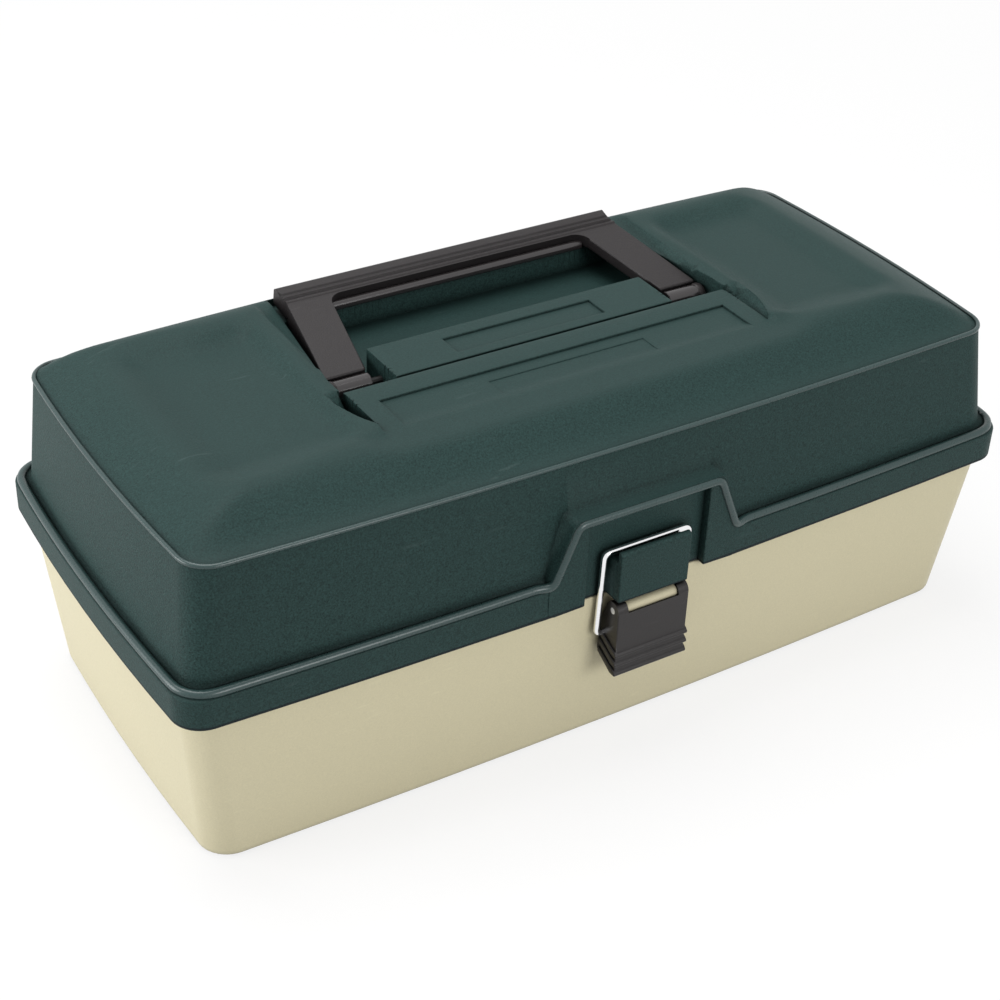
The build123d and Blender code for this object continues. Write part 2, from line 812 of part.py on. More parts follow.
# Latch lever: a channel that hangs from its pin, open at the back, with a window and ribs
lever_face = lever_pivot_y - lever_front
lever_foot = lever_pivot_z - lever_length
lever_ear = bail_pivot_y + lever_ear_reach
lever_room = lever_pivot_y + lever_barrel + lever_room_reach
with BuildPart() as latch_lever:
    side_profile(
        [
            (lever_pivot_y + lever_barrel, lever_pivot_z),
            (lever_ear, lever_pivot_z - 2 * lever_barrel),
            (lever_ear, bail_pivot_z - lever_ear_reach),
            (lever_ear + lever_toe, lever_foot + lever_toe_rise),
            (lever_face + 2 * lever_toe, lever_foot),
            (lever_face, lever_foot + 2 * lever_toe),
            (lever_pivot_y - lever_barrel, lever_pivot_z),
        ],
        -lever_half,
        lever_half,
    )
    # Ribs for the thumb, wrapped round the front and the sides
    for step in range(rib_count):
        rib_low = lever_foot + rib_start + step * rib_pitch
        rib_end = lever_ear - rib_rise
        side_profile(
            [
                (lever_face - rib_rise, rib_low),
                (lever_face - rib_rise, rib_low + rib_height / 2),
                (lever_face + rib_rise / 2, rib_low + rib_height),
                (rib_end, rib_low + rib_height + rib_sweep),
                (rib_end, rib_low + rib_sweep),
                (lever_face + lever_skin, rib_low),
            ],
            -lever_half - rib_rise,
            lever_half + rib_rise,
        )
    x_cylinder((-lever_half, lever_half), lever_pivot_y, lever_pivot_z, lever_barrel)
    # Room behind the front skin for the lug
    cheek_inner = lever_half - lever_cheek
    room_top = lever_pivot_z + lever_barrel + wall_overlap
    side_profile(
        [
            (lever_room, room_top),
            (lever_pivot_y, room_top),
            (lever_pivot_y - lug_radius - side_gap, lever_pivot_z),
            (lever_face + lever_skin, lever_pivot_z - lever_barrel),
            (lever_face + lever_skin, lever_foot + 2 * lever_skin),
            (lever_face + 2 * lever_skin, lever_foot + lever_skin),
            (lever_room, lever_foot + lever_room_reach),
        ],
        -cheek_inner,
        cheek_inner,
        Mode.SUBTRACT,
    )
    x_cylinder(
        (-cheek_inner, cheek_inner),
        lever_pivot_y,
        lever_pivot_z,
        lug_radius + side_gap,
        Mode.SUBTRACT,
    )
    box_between(
        (-lever_window_half, lever_window_half),
        (lever_face - wall_overlap, lever_pivot_y + lever_barrel),
        (lever_pivot_z - pin_clearance, room_top),
        Mode.SUBTRACT,
    )
    socket((-lever_half, lever_half), lever_pivot_y, lever_pivot_z, lever_pin_radius)
    x_cylinder(
        (-lever_half - rib_rise, lever_half + rib_rise),
        bail_pivot_y,
        bail_pivot_z,
        bail_wire / 2 + pin_clearance,
        Mode.SUBTRACT,
    )
save(latch_lever, "latch_lever")

with BuildPart() as latch_lever_pin:
    x_cylinder((-lever_half, lever_half), lever_pivot_y, lever_pivot_z, lever_pin_radius)
save(latch_lever_pin, "latch_lever_pin")

# Wire bail: legs from the lever's cheeks up to the bar in the catch's channel
bail_end = lever_half - lever_cheek + side_gap
with BuildPart() as latch_bail:
    with BuildLine() as route:
        Polyline(
            (-bail_end, bail_pivot_y, bail_pivot_z),
            (-bail_half, bail_pivot_y, bail_pivot_z),
            (-bail_half, bail_bar_y, bail_bar_z - bail_bend),
            (-bail_half + bail_bend, bail_bar_y, bail_bar_z),
            (bail_half - bail_bend, bail_bar_y, bail_bar_z),
            (bail_half, bail_bar_y, bail_bar_z - bail_bend),
            (bail_half, bail_pivot_y, bail_pivot_z),
            (bail_end, bail_pivot_y, bail_pivot_z),
        )
    with BuildSketch(Plane(origin=route.line @ 0, z_dir=route.line % 0)):
        RegularPolygon(bail_wire / 2, bail_sides)
    sweep(transition=Transition.RIGHT)
save(latch_bail, "latch_bail")


def tray(floor):
    """An open tray with a long rear row and guide ribs for its dividers."""
    middle_y = (tray_front + tray_back) / 2
    depth = tray_back - tray_front
    with BuildPart() as body:
        with BuildSketch(Plane.XY.offset(floor)):
            with Locations((0, middle_y)):
                RectangleRounded(2 * tray_half, depth, tray_corner)
        extrude(amount=tray_height)
        with BuildSketch(Plane.XY.offset(floor + tray_wall)):
            with Locations((0, middle_y)):
                RectangleRounded(
                    2 * (tray_half - tray_wall), depth - 2 * tray_wall, tray_corner - tray_wall
                )
        extrude(amount=tray_height, mode=Mode.SUBTRACT)
        # Wall between the front row and the rear row
        box_between(
            (-tray_half + tray_wall / 2, tray_half - tray_wall / 2),
            (tray_row_y - tray_wall / 2, tray_row_y + tray_wall / 2),
            (floor + tray_wall / 2, floor + tray_height - divider_drop),
        )
        # Guide ribs on each side of every divider
        rib_top = floor + tray_height - divider_drop
        for share in divider_shares:
            place = share * tray_half
            for side in (-1, 1):
                middle = place + side * (divider_thick / 2 + pin_clearance + tray_bead / 2)
                for low, high in (
                    (tray_front + tray_wall / 2, tray_front + tray_wall + slot_depth),
                    (
                        tray_row_y - tray_wall / 2 - slot_depth,
                        tray_row_y,
                    ),
                ):
                    box_between(
                        (middle - tray_bead / 2, middle + tray_bead / 2),
                        (low, high),
                        (floor + tray_wall / 2, rib_top),
                    )
    return body


def neck_holes(pins):
    """Square holes through a tray's ends, which keep its rivets from turning."""
    for side in (-1, 1):
        for pin_y, pin_z in pins:
            box_between(
                sorted((side * (tray_half - 2 * tray_wall), side * (tray_half + top_clear))),
                (pin_y - neck_hole, pin_y + neck_hole),
                (pin_z - neck_hole, pin_z + neck_hole),
                Mode.SUBTRACT,
            )


lower_pins = [(y - lower_pin_back, lower_pin_z) for y in (front_arm_y, rear_arm_y)]
upper_pins = [(y - crank_back, upper_pin_z) for y in (front_arm_y, rear_arm_y)]
lower_tray = tray(lower_tray_floor)
with lower_tray:
    neck_holes(lower_pins)
save(lower_tray, "lower_tray")
upper_tray = tray(upper_tray_floor)
with upper_tray:
    neck_holes(upper_pins)
    # Holes for the pins on the lid
    socket((-tray_half, tray_half), lid_pin_y, lid_pin_z, lid_pin_radius)
save(upper_tray, "upper_tray")

# Loose dividers that drop between the guide ribs
for floor, name in (
    (lower_tray_floor, "lower_tray_dividers"),
    (upper_tray_floor, "upper_tray_dividers"),
):
    with BuildPart() as dividers:
        for share in divider_shares:
            place = share * tray_half
            box_between(
                (place - divider_thick / 2, place + divider_thick / 2),
                (
                    tray_front + tray_wall + pin_clearance,
                    tray_row_y - tray_wall / 2 - pin_clearance,
                ),
                (floor + tray_wall, floor + tray_height - divider_drop),
            )
    save(dividers, name)

# Swing arms: bent flat bars with three holes
for arm_y, face, layer in ((front_arm_y, front_arm_face, "front"), (rear_arm_y, rear_arm_face, "rear")):
    base_hole = (arm_y, arm_pivot_z)
    middle_hole = (arm_y - lower_pin_back, lower_pin_z)
    top_hole = (arm_y - crank_back, upper_pin_z)
    for side, hand in ((-1, "left"), (1, "right")):
        low, high = sorted((side * face, side * (face + arm_thick)))
        with BuildPart() as arm:
            with BuildSketch(Plane.YZ.offset(low)):
                for start, end in ((base_hole, middle_hole), (middle_hole, top_hole)):
                    with BuildLine():
                        Line(start, end)
                    trace(line_width=arm_half_width * 2)
                with Locations(base_hole, middle_hole, top_hole):
                    RegularPolygon(arm_half_width, arm_end_sides, major_radius=False)
                with Locations(base_hole, middle_hole, top_hole):
                    Circle(rivet_radius + pin_clearance, mode=Mode.SUBTRACT)
            extrude(amount=high - low)
        save(arm, f"{layer}_arm_{hand}")


def rivets(places, carrier):
    """Headed rivets through the arms: a shoulder that they turn on, and a square neck.

    Each place has its Y, its Z and the inner face of its arm. The carrier is the distance
    from the middle of the box to the face that the neck enters, or None for the bosses.
    """
    with BuildPart() as group:
        for pin_y, pin_z, face in places:
            if carrier is None:
                head = (face - rivet_head, face - pin_clearance)
                seat = face + arm_thick + side_gap
                neck_end = seat + neck_depth - pin_clearance
            else:
                head = (face + arm_thick + pin_clearance, face + arm_thick + rivet_head)
                seat = carrier
                neck_end = carrier - tray_wall - rivet_head
            for side in (-1, 1):
                for end, radius in ((head[1], rivet_head_radius), (seat, rivet_radius)):
                    span = sorted((side * head[0], side * end))
                    prism(span, pin_y, pin_z, radius, rivet_sides)
                box_between(
                    sorted((side * seat, side * neck_end)),
                    (pin_y - neck_half, pin_y + neck_half),
                    (pin_z - neck_half, pin_z + neck_half),
                )
    return group


layers = (front_arm_face, rear_arm_face)
lower_places = [(y, z, face) for (y, z), face in zip(lower_pins, layers)]
upper_places = [(y, z, face) for (y, z), face in zip(upper_pins, layers)]
base_places = [(y, arm_pivot_z, face) for y, face in zip((front_arm_y, rear_arm_y), layers)]
save(rivets(lower_places, tray_half), "lower_tray_rivets")
save(rivets(upper_places, tray_half), "upper_tray_rivets")
save(rivets(base_places, None), "base_arm_rivets")

# Pins that hang the upper tray from the lid's bosses
with BuildPart() as lid_tray_pins:
    for side in (-1, 1):
        low, high = sorted(
            (side * (tray_half - 2 * tray_wall), side * (lid_end_inner - pin_depth - side_gap))
        )
        prism((low, high), lid_pin_y, lid_pin_z, lid_pin_radius, pin_sides)
save(lid_tray_pins, "lid_tray_pins")
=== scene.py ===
# %% [markdown]
# # A tackle box with two swinging trays
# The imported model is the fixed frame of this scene: it says how long each piece is, where
# it sits and which way it turns. This script dresses that frame. Some pieces keep their CAD
# mesh and get a finish, and others are built again here with the soft edges and curved
# surfaces of the real mouldings. X runs along the length, the latch looks towards -Y, and Z
# is up from the box's underside. Blender works in metres, so sizes in millimetres are
# multiplied by mm.

import json
import math

import bmesh
import bpy
import numpy as np
from mathutils import Matrix, Vector
from mathutils.bvhtree import BVHTree
from mathutils.geometry import delaunay_2d_cdt

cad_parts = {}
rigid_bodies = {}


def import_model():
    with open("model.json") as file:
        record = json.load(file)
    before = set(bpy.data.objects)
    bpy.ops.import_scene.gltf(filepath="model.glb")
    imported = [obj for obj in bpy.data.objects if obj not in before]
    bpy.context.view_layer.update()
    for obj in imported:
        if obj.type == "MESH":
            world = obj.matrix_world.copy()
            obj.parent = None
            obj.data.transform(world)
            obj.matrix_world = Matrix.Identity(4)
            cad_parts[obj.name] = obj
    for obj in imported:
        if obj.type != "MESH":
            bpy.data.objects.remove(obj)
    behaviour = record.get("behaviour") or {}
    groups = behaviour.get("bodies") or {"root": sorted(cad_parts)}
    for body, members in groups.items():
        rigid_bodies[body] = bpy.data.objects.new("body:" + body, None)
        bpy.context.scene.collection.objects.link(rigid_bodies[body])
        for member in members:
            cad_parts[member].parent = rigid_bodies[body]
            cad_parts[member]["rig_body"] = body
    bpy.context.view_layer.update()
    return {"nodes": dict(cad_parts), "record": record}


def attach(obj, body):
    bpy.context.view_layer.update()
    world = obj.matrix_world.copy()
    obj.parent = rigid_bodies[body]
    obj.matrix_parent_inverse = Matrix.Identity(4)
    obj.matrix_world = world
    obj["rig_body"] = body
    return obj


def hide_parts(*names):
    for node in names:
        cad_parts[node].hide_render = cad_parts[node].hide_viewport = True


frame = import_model()
nodes = frame["nodes"]
slot_of = {part["node"]: part["material_slot"] for part in frame["record"]["subparts"]}
mm = 0.001
scene = bpy.context.scene

# %% [markdown]
# The photograph was taken from above the box's left front corner with a long lens. The
# camera's place, its turn about its own line of sight and its lens come from fitting the
# lip, the shoulder and the handle's edges to the picture, so the render can be laid over it.

# %% Camera
camera_azimuth = math.radians(-33.19)
camera_height = math.radians(33.78)
camera_roll = math.radians(2.48)
camera_place = Vector((-0.34009, -0.50594, 0.46169))

away = Vector(
    (
        math.sin(camera_azimuth) * math.cos(camera_height),
        -math.cos(camera_azimuth) * math.cos(camera_height),
        math.sin(camera_height),
    )
)
level = Vector((0, 0, 1)).cross(away).normalized()
plumb = away.cross(level)
right = level * math.cos(camera_roll) + plumb * math.sin(camera_roll)
up = plumb * math.cos(camera_roll) - level * math.sin(camera_roll)

camera_data = bpy.data.cameras.new("camera")
camera_data.lens = 70.0
camera_data.sensor_width = 36.0
camera = bpy.data.objects.new("camera", camera_data)
turn = Matrix((right, up, away)).transposed().to_4x4()
camera.matrix_world = Matrix.Translation(camera_place) @ turn
scene.collection.objects.link(camera)
scene.camera = camera
scene.view_settings.view_transform = "Standard"
print("camera at", [round(v, 3) for v in camera_place])

# %% [markdown]
# Dark plastic shows its form through what it reflects. A large softbox overhead lights the
# top, a softer one fills the front, and a card low on the left gives the end walls their
# sheen. The lamps stay at a level where a colour renders about as it is written.

# %% Lamps
def add_softbox(name, place, target, size, power):
    """A square softbox that looks at a target."""
    data = bpy.data.lights.new(name, "AREA")
    data.size = size
    data.energy = power
    lamp = bpy.data.objects.new(name, data)
    lamp.location = place
    aim = Vector(target) - Vector(place)
    lamp.rotation_euler = aim.to_track_quat("-Z", "Y").to_euler()
    scene.collection.objects.link(lamp)
    print(name, power, "W")


add_softbox("overhead_softbox", (-0.1, 0.35, 1.35), (0, 0, 0.1), 0.9, 12.3)
add_softbox("front_fill", (0.25, -1.5, 0.7), (0, 0, 0.06), 0.7, 10.0)
add_softbox("left_card", (-1.1, 0.35, 0.35), (-0.1, 0, 0.08), 0.7, 8.5)

# %% [markdown]
# Every finish is a tree of nodes. One helper adds a node and fills its inputs, in order or by
# name, with values or with the outputs of other nodes. Names in small letters are settings
# of the node itself.

# %% Helpers for nodes
def new_material(name):
    """A material with an empty tree and its output."""
    made = bpy.data.materials.new(name)
    made.use_nodes = True
    tree = made.node_tree
    tree.nodes.clear()
    return made, tree, tree.nodes.new("ShaderNodeOutputMaterial")


def add_node(tree, kind, *terms, **named):
    """A node with its settings and inputs. A term is a value or the socket that gives it."""
    node = tree.nodes.new(kind)
    for label in [label for label in named if label.islower()]:
        setattr(node, label, named.pop(label))
    inputs = [(label.replace("_", " "), term) for label, term in named.items()]
    for place, term in [*enumerate(terms), *inputs]:
        if isinstance(term, bpy.types.NodeSocket):
            tree.links.new(term, node.inputs[place])
        else:
            node.inputs[place].default_value = term
    return node


def calculate(tree, operation, *terms):
    """The result of a Math node."""
    return add_node(tree, "ShaderNodeMath", *terms, operation=operation).outputs[0]


def split_by_ray(tree, lights_with, shows, output):
    """One shader for the rays that light the box, another for the camera and for mirrors."""
    rays = add_node(tree, "ShaderNodeLightPath").outputs
    sees_white = calculate(tree, "MAXIMUM", rays["Is Camera Ray"], rays["Is Glossy Ray"])
    mix = add_node(tree, "ShaderNodeMixShader", sees_white, lights_with, shows)
    tree.links.new(mix.outputs["Shader"], output.inputs["Surface"])


print("helpers ready")

# %% [markdown]
# The box stands on white paper that runs up behind it. The camera sees the paper as white
# with the box's soft shadow on it, and so do mirrors such as the wire bail. The shadow fades
# out with the distance from the box, so the far paper meets the white behind it. To every
# other ray the paper is a grey, which keeps it from washing out the dark walls.

# %% Paper and surroundings
world = bpy.data.worlds.new("studio")
scene.world = world
world.use_nodes = True
tree = world.node_tree
tree.nodes.clear()
white = (1.0, 1.0, 1.0, 1.0)
surround = add_node(tree, "ShaderNodeBackground", Color=white, Strength=0.42)
backdrop = add_node(tree, "ShaderNodeBackground", Color=white, Strength=1.0)
output = tree.nodes.new("ShaderNodeOutputWorld")
split_by_ray(tree, surround.outputs["Background"], backdrop.outputs["Background"], output)

floor_half, floor_level = 6.0, -0.0002
floor_corners = [
    (x * floor_half, y * floor_half, floor_level) for x, y in ((-1, -1), (1, -1), (1, 1), (-1, 1))
]
floor_mesh = bpy.data.meshes.new("floor")
floor_mesh.from_pydata(floor_corners, [], [(0, 1, 2, 3)])
floor = bpy.data.objects.new("floor", floor_mesh)
scene.collection.objects.link(floor)

paper, tree, output = new_material("floor_paper")
lit = add_node(tree, "ShaderNodeBsdfDiffuse", Color=(0.5, 0.5, 0.5, 1.0))
seen = add_node(tree, "ShaderNodeBsdfDiffuse", Color=(0.95, 0.95, 0.95, 1.0))
glow = add_node(tree, "ShaderNodeEmission", Strength=1.0)
spot = add_node(tree, "ShaderNodeTexCoord").outputs["Object"]
reach = add_node(tree, "ShaderNodeVectorMath", spot, operation="LENGTH").outputs["Value"]
fade = add_node(
    tree, "ShaderNodeMapRange", Value=reach, From_Min=0.35, From_Max=1.2, To_Min=0.78, To_Max=1.0
)
shaders = seen.outputs["BSDF"], glow.outputs["Emission"]
whiter = add_node(tree, "ShaderNodeMixShader", fade.outputs["Result"], *shaders)
split_by_ray(tree, lit.outputs["BSDF"], whiter.outputs["Shader"], output)
floor.data.materials.append(paper)
print("paper laid")

# %% [markdown]
# Every finish below is built from a few effects that the mouldings share: the fine pebbled
# grain that the mould leaves, the slow drift in tone of a dyed plastic, and the pale rubs
# that handling leaves. Each effect is a node group with named inputs, so one recipe serves
# every plastic with its own amounts. Patterns read Object coordinates, which are the box's
# own metres.

# %% Helpers for node groups
def new_group(name, inputs, outputs):
    """A shader node group with named sockets, with its input and output nodes."""
    group = bpy.data.node_groups.new(name, "ShaderNodeTree")
    for label, kind, value in inputs:
        socket = group.interface.new_socket(label, in_out="INPUT", socket_type=kind)
        if value is not None:
            socket.default_value = value
    for label, kind in outputs:
        group.interface.new_socket(label, in_out="OUTPUT", socket_type=kind)
    return group, group.nodes.new("NodeGroupInput"), group.nodes.new("NodeGroupOutput")


def add_noise(tree, vector, scale, detail=2.0, roughness=0.5):
    """A noise pattern from 0 to 1. The scale is a number or a socket."""
    values = {"Vector": vector, "Scale": scale, "Detail": detail, "Roughness": roughness}
    return add_node(tree, "ShaderNodeTexNoise", **values).outputs["Fac"]


def place_group(tree, group, **values):
    """A group node in a material, with its inputs filled by name."""
    return add_node(tree, "ShaderNodeGroup", node_tree=group, **values)


print("noise and groups ready")

# %% [markdown]
# The grain of a mould is a field of small rounded bumps, a fraction of a millimetre across.
# Noise gives the uneven field, and the distance inside Voronoi cells gives the round tops.

# %% Pebbled grain
pebbles, start, end = new_group(
    "pebbled_grain",
    [("Vector", "NodeSocketVector", None), ("Size", "NodeSocketFloat", 0.0009)],
    [("Height", "NodeSocketFloat")],
)
frequency = calculate(pebbles, "DIVIDE", 1.0, start.outputs["Size"])
uneven = add_noise(pebbles, start.outputs["Vector"], frequency, 3.0, 0.6)
cells = add_node(pebbles, "ShaderNodeTexVoronoi", Vector=start.outputs["Vector"], Scale=frequency)
tops = calculate(pebbles, "SUBTRACT", 1.0, cells.outputs["Distance"])
half = calculate(pebbles, "MULTIPLY", tops, 0.45)
pebbles.links.new(calculate(pebbles, "MULTIPLY_ADD", uneven, 0.55, half), end.inputs["Height"])
print("group", pebbles.name)

# %% [markdown]
# Dyed plastic is never quite one colour: it drifts over a hand's width, and the grain
# catches a little dust. The colour is multiplied by a factor close to 1.

# %% Drift of tone
tone, start, end = new_group(
    "moulded_tone",
    [
        ("Vector", "NodeSocketVector", None),
        ("Color", "NodeSocketColor", None),
        ("Drift", "NodeSocketFloat", 0.05),
        ("Speckle", "NodeSocketFloat", 0.05),
        ("Speckle Size", "NodeSocketFloat", 0.0006),
    ],
    [("Color", "NodeSocketColor")],
)
broad = add_noise(tone, start.outputs["Vector"], 16.0, 2.0)
speckle_scale = calculate(tone, "DIVIDE", 1.0, start.outputs["Speckle Size"])
fine = add_noise(tone, start.outputs["Vector"], speckle_scale, 2.0, 0.7)
swing = calculate(tone, "MULTIPLY", calculate(tone, "SUBTRACT", broad, 0.5), 2.0)
swing = calculate(tone, "MULTIPLY_ADD", swing, start.outputs["Drift"], 1.0)
dots = calculate(tone, "MULTIPLY", calculate(tone, "SUBTRACT", fine, 0.5), 4.0)
factor = calculate(tone, "MULTIPLY_ADD", dots, start.outputs["Speckle"], swing)
scaled = add_node(
    tone, "ShaderNodeVectorMath", start.outputs["Color"], Scale=factor, operation="SCALE"
)
tone.links.new(scaled.outputs[0], end.inputs["Color"])
print("group", tone.name)

# %% [markdown]
# Handling leaves short rubs that run mostly along the box. They are noise stretched along X,
# cut to its highest peaks, and thinned by a broad noise so that whole areas stay clean.

# %% Rubs of handling
rubs, start, end = new_group(
    "handling_rubs",
    [("Vector", "NodeSocketVector", None), ("Amount", "NodeSocketFloat", 0.3)],
    [("Mask", "NodeSocketFloat")],
)
long_ways = (70.0, 600.0, 380.0)
stretch = add_node(
    rubs, "ShaderNodeVectorMath", start.outputs["Vector"], long_ways, operation="MULTIPLY"
)
streaks = add_noise(rubs, stretch.outputs[0], 1.0, 2.0)
peaks = calculate(rubs, "MULTIPLY", calculate(rubs, "SUBTRACT", streaks, 0.64), 9.0)
areas = add_noise(rubs, start.outputs["Vector"], 30.0, 1.0)
areas = calculate(rubs, "MULTIPLY", calculate(rubs, "SUBTRACT", areas, 0.5), 4.0)
marks = add_node(rubs, "ShaderNodeClamp", peaks).outputs[0]
where = add_node(rubs, "ShaderNodeClamp", areas).outputs[0]
both = calculate(rubs, "MULTIPLY", marks, where)
rubs.links.new(calculate(rubs, "MULTIPLY", both, start.outputs["Amount"]), end.inputs["Mask"])
print("group", rubs.name)

# %% [markdown]
# One function makes every plastic of the box from the three groups. It paints shade into the
# inner corners with an ambient occlusion node, and paints a shadow along the lip's lower edge.
# The shader itself stays in the material.
# Colours are written as the eye sees them, in 0 to 255, and turned into the linear values
# that Blender works with. Grained mouldings reflect softly, and polished ones sharply.

# %% Moulded plastics
def as_seen(red, green, blue):
    """A linear colour from its 0 to 255 values."""
    shares = [value / 255 for value in (red, green, blue)]
    linear = [((s + 0.055) / 1.055) ** 2.4 if s > 0.04045 else s / 12.92 for s in shares]
    return (*linear, 1.0)


def blended(tree, share, first, second):
    """A colour between a socket's and a fixed one, by a share that a socket gives."""
    values = {"Factor": share, "A": first, "B": (*second, 1.0)}
    return add_node(tree, "ShaderNodeMix", data_type="RGBA", **values).outputs["Result"]


# Heights and colour of a band of painted shadow along the lip's lower edge, over the tub
lip_shadow_low, lip_shadow_high = 0.0643, 0.0669
lip_shadow_color = (0.004, 0.006, 0.01)
# Reach and samples of the painted shade in inner corners
corner_shade_reach, corner_shade_samples = 0.0035, 8


def moulded_plastic(
    name, color, gloss, grain, drift, speckle, rub, shine=0.4, lip_shadow=0.0, corner_shade=0.5, calm=0.0
):
    """A plastic. Gloss is its roughness and its spread, grain its size and depth in metres.

    The lip shadow is how dark a band of painted shadow is along the lip's lower edge, over
    the tub, the corner shade how dark the painted shade is in every inner corner, and calm
    how much of the grain the surfaces that face up lack.
    """
    made, tree, output = new_material(name)
    places = add_node(tree, "ShaderNodeTexCoord").outputs
    where = places["Object"]
    facing = add_node(tree, "ShaderNodeSeparateXYZ", places["Normal"])
    flat = calculate(tree, "ABSOLUTE", facing.outputs["Z"])
    grained = calculate(tree, "MULTIPLY_ADD", calculate(tree, "POWER", flat, 6.0), -calm, 1.0)
    dust = calculate(tree, "MULTIPLY", grained, speckle)
    toned = place_group(tree, tone, Vector=where, Color=color, Drift=drift, Speckle=dust)
    bumps = place_group(tree, pebbles, Vector=where, Size=grain[0]).outputs["Height"]
    worn = place_group(tree, rubs, Vector=where, Amount=rub).outputs["Mask"]
    rubbed = [min(1.0, c * 1.5 + 0.05) for c in color[:3]]
    finish_color = blended(tree, worn, toned.outputs["Color"], rubbed)
    # Painted shadow: a dark band along the lip's lower edge, where it meets the tub
    if lip_shadow:
        level = add_node(tree, "ShaderNodeSeparateXYZ", where).outputs["Z"]
        above = calculate(tree, "GREATER_THAN", level, lip_shadow_low)
        under = calculate(tree, "LESS_THAN", level, lip_shadow_high)
        shadow_band = calculate(tree, "MULTIPLY", calculate(tree, "MULTIPLY", above, under), lip_shadow)
        finish_color = blended(tree, shadow_band, finish_color, lip_shadow_color)
    # Painted shade: inner corners darken towards a tenth of the plastic's colour
    corners = add_node(
        tree, "ShaderNodeAmbientOcclusion", samples=corner_shade_samples, Distance=corner_shade_reach
    )
    hidden = calculate(tree, "MULTIPLY_ADD", corners.outputs["AO"], -corner_shade, corner_shade)
    finish_color = blended(tree, hidden, finish_color, [0.1 * c for c in color[:3]])
    rough = calculate(tree, "MULTIPLY_ADD", bumps, gloss[1], gloss[0])
    rough = calculate(tree, "MULTIPLY_ADD", worn, 0.15, rough)
    relief = add_node(tree, "ShaderNodeBump", Strength=grained, Distance=grain[1], Height=bumps)
    shader = add_node(
        tree,
        "ShaderNodeBsdfPrincipled",
        Base_Color=finish_color,
        Roughness=rough,
        Specular_IOR_Level=shine,
        Normal=relief.outputs["Normal"],
    )
    tree.links.new(shader.outputs["BSDF"], output.inputs["Surface"])
    print(name, "colour", [round(c, 3) for c in color[:3]])
    return made


plastics = {
    "base_plastic": dict(
        color=as_seen(214, 206, 174), gloss=(0.38, 0.2), grain=(0.001, 0.00008),
        drift=0.02, speckle=0.05, rub=0.2, shine=0.3, corner_shade=0.7,
    ),
    "lid_plastic": dict(
        color=as_seen(38, 59, 57), gloss=(0.42, 0.25), grain=(0.0006, 0.00018),
        drift=0.06, speckle=0.6, rub=0.3, shine=0.13, lip_shadow=0.75, corner_shade=1.1, calm=0.6,
    ),
    "handle_plastic": dict(
        color=as_seen(31, 27, 28), gloss=(0.36, 0.2), grain=(0.0006, 0.0001),
        drift=0.05, speckle=0.3, rub=0.4, shine=0.3, corner_shade=1.2,
    ),
    "latch_plastic": dict(
        color=as_seen(36, 33, 33), gloss=(0.28, 0.16), grain=(0.0007, 0.00005),
        drift=0.05, speckle=0.1, rub=0.4, shine=0.35, corner_shade=1.6,
    ),
    "tray_plastic": dict(
        color=as_seen(208, 200, 172), gloss=(0.32, 0.16), grain=(0.0012, 0.00002),
        drift=0.02, speckle=0.01, rub=0.4,
    ),
    "divider_plastic": dict(
        color=as_seen(212, 205, 178), gloss=(0.3, 0.16), grain=(0.0012, 0.00002),
        drift=0.02, speckle=0.01, rub=0.5,
    ),
    # A smoother copy of the lid's plastic, lighter in colour as a painted highlight on the beads
    "smooth_highlit_lid": dict(
        color=as_seen(44, 66, 65), gloss=(0.22, 0.14), grain=(0.0007, 0.00003),
        drift=0.05, speckle=0.1, rub=0.3, shine=0.5, corner_shade=1.6,
    ),
    # A smoother copy of the handle's plastic, lighter in colour as a painted highlight on the
    # roll and barrels
    "polished_highlit_black": dict(
        color=as_seen(44, 40, 41), gloss=(0.12, 0.08), grain=(0.0007, 0.00001),
        drift=0.05, speckle=0.02, rub=0.2, shine=0.7,
    ),
}
finishes = {name: moulded_plastic(name, **values) for name, values in plastics.items()}

# %% [markdown]
# The bail, pins, arms and rivets are plated or bare steel. Drawn wire and rolled strip carry
# fine lines, so their roughness follows a noise stretched along the metal.

# %% Steels
def drawn_steel(name, color, roughness, spread, stretch, relief_depth):
    """A steel whose fine lines run along the axis with the lowest stretch."""
    made, tree, output = new_material(name)
    where = add_node(tree, "ShaderNodeTexCoord").outputs["Object"]
    along = add_node(tree, "ShaderNodeVectorMath", where, stretch, operation="MULTIPLY")
    lines = add_noise(tree, along.outputs[0], 1.0, 3.0, 0.6)
    spots = add_noise(tree, where, 220.0, 3.0, 0.6)
    toned = place_group(tree, tone, Vector=where, Color=(*color, 1.0), Drift=0.05, Speckle=0.03)
    rough = calculate(tree, "MULTIPLY_ADD", lines, spread, roughness)
    rough = calculate(tree, "MULTIPLY_ADD", spots, spread / 2, rough)
    relief = add_node(tree, "ShaderNodeBump", Distance=relief_depth, Height=lines)
    shader = add_node(
        tree,
        "ShaderNodeBsdfPrincipled",
        Base_Color=toned.outputs["Color"],
        Metallic=1.0,
        Roughness=rough,
        Normal=relief.outputs["Normal"],
    )
    tree.links.new(shader.outputs["BSDF"], output.inputs["Surface"])
    print(name, "roughness", roughness)
    return made


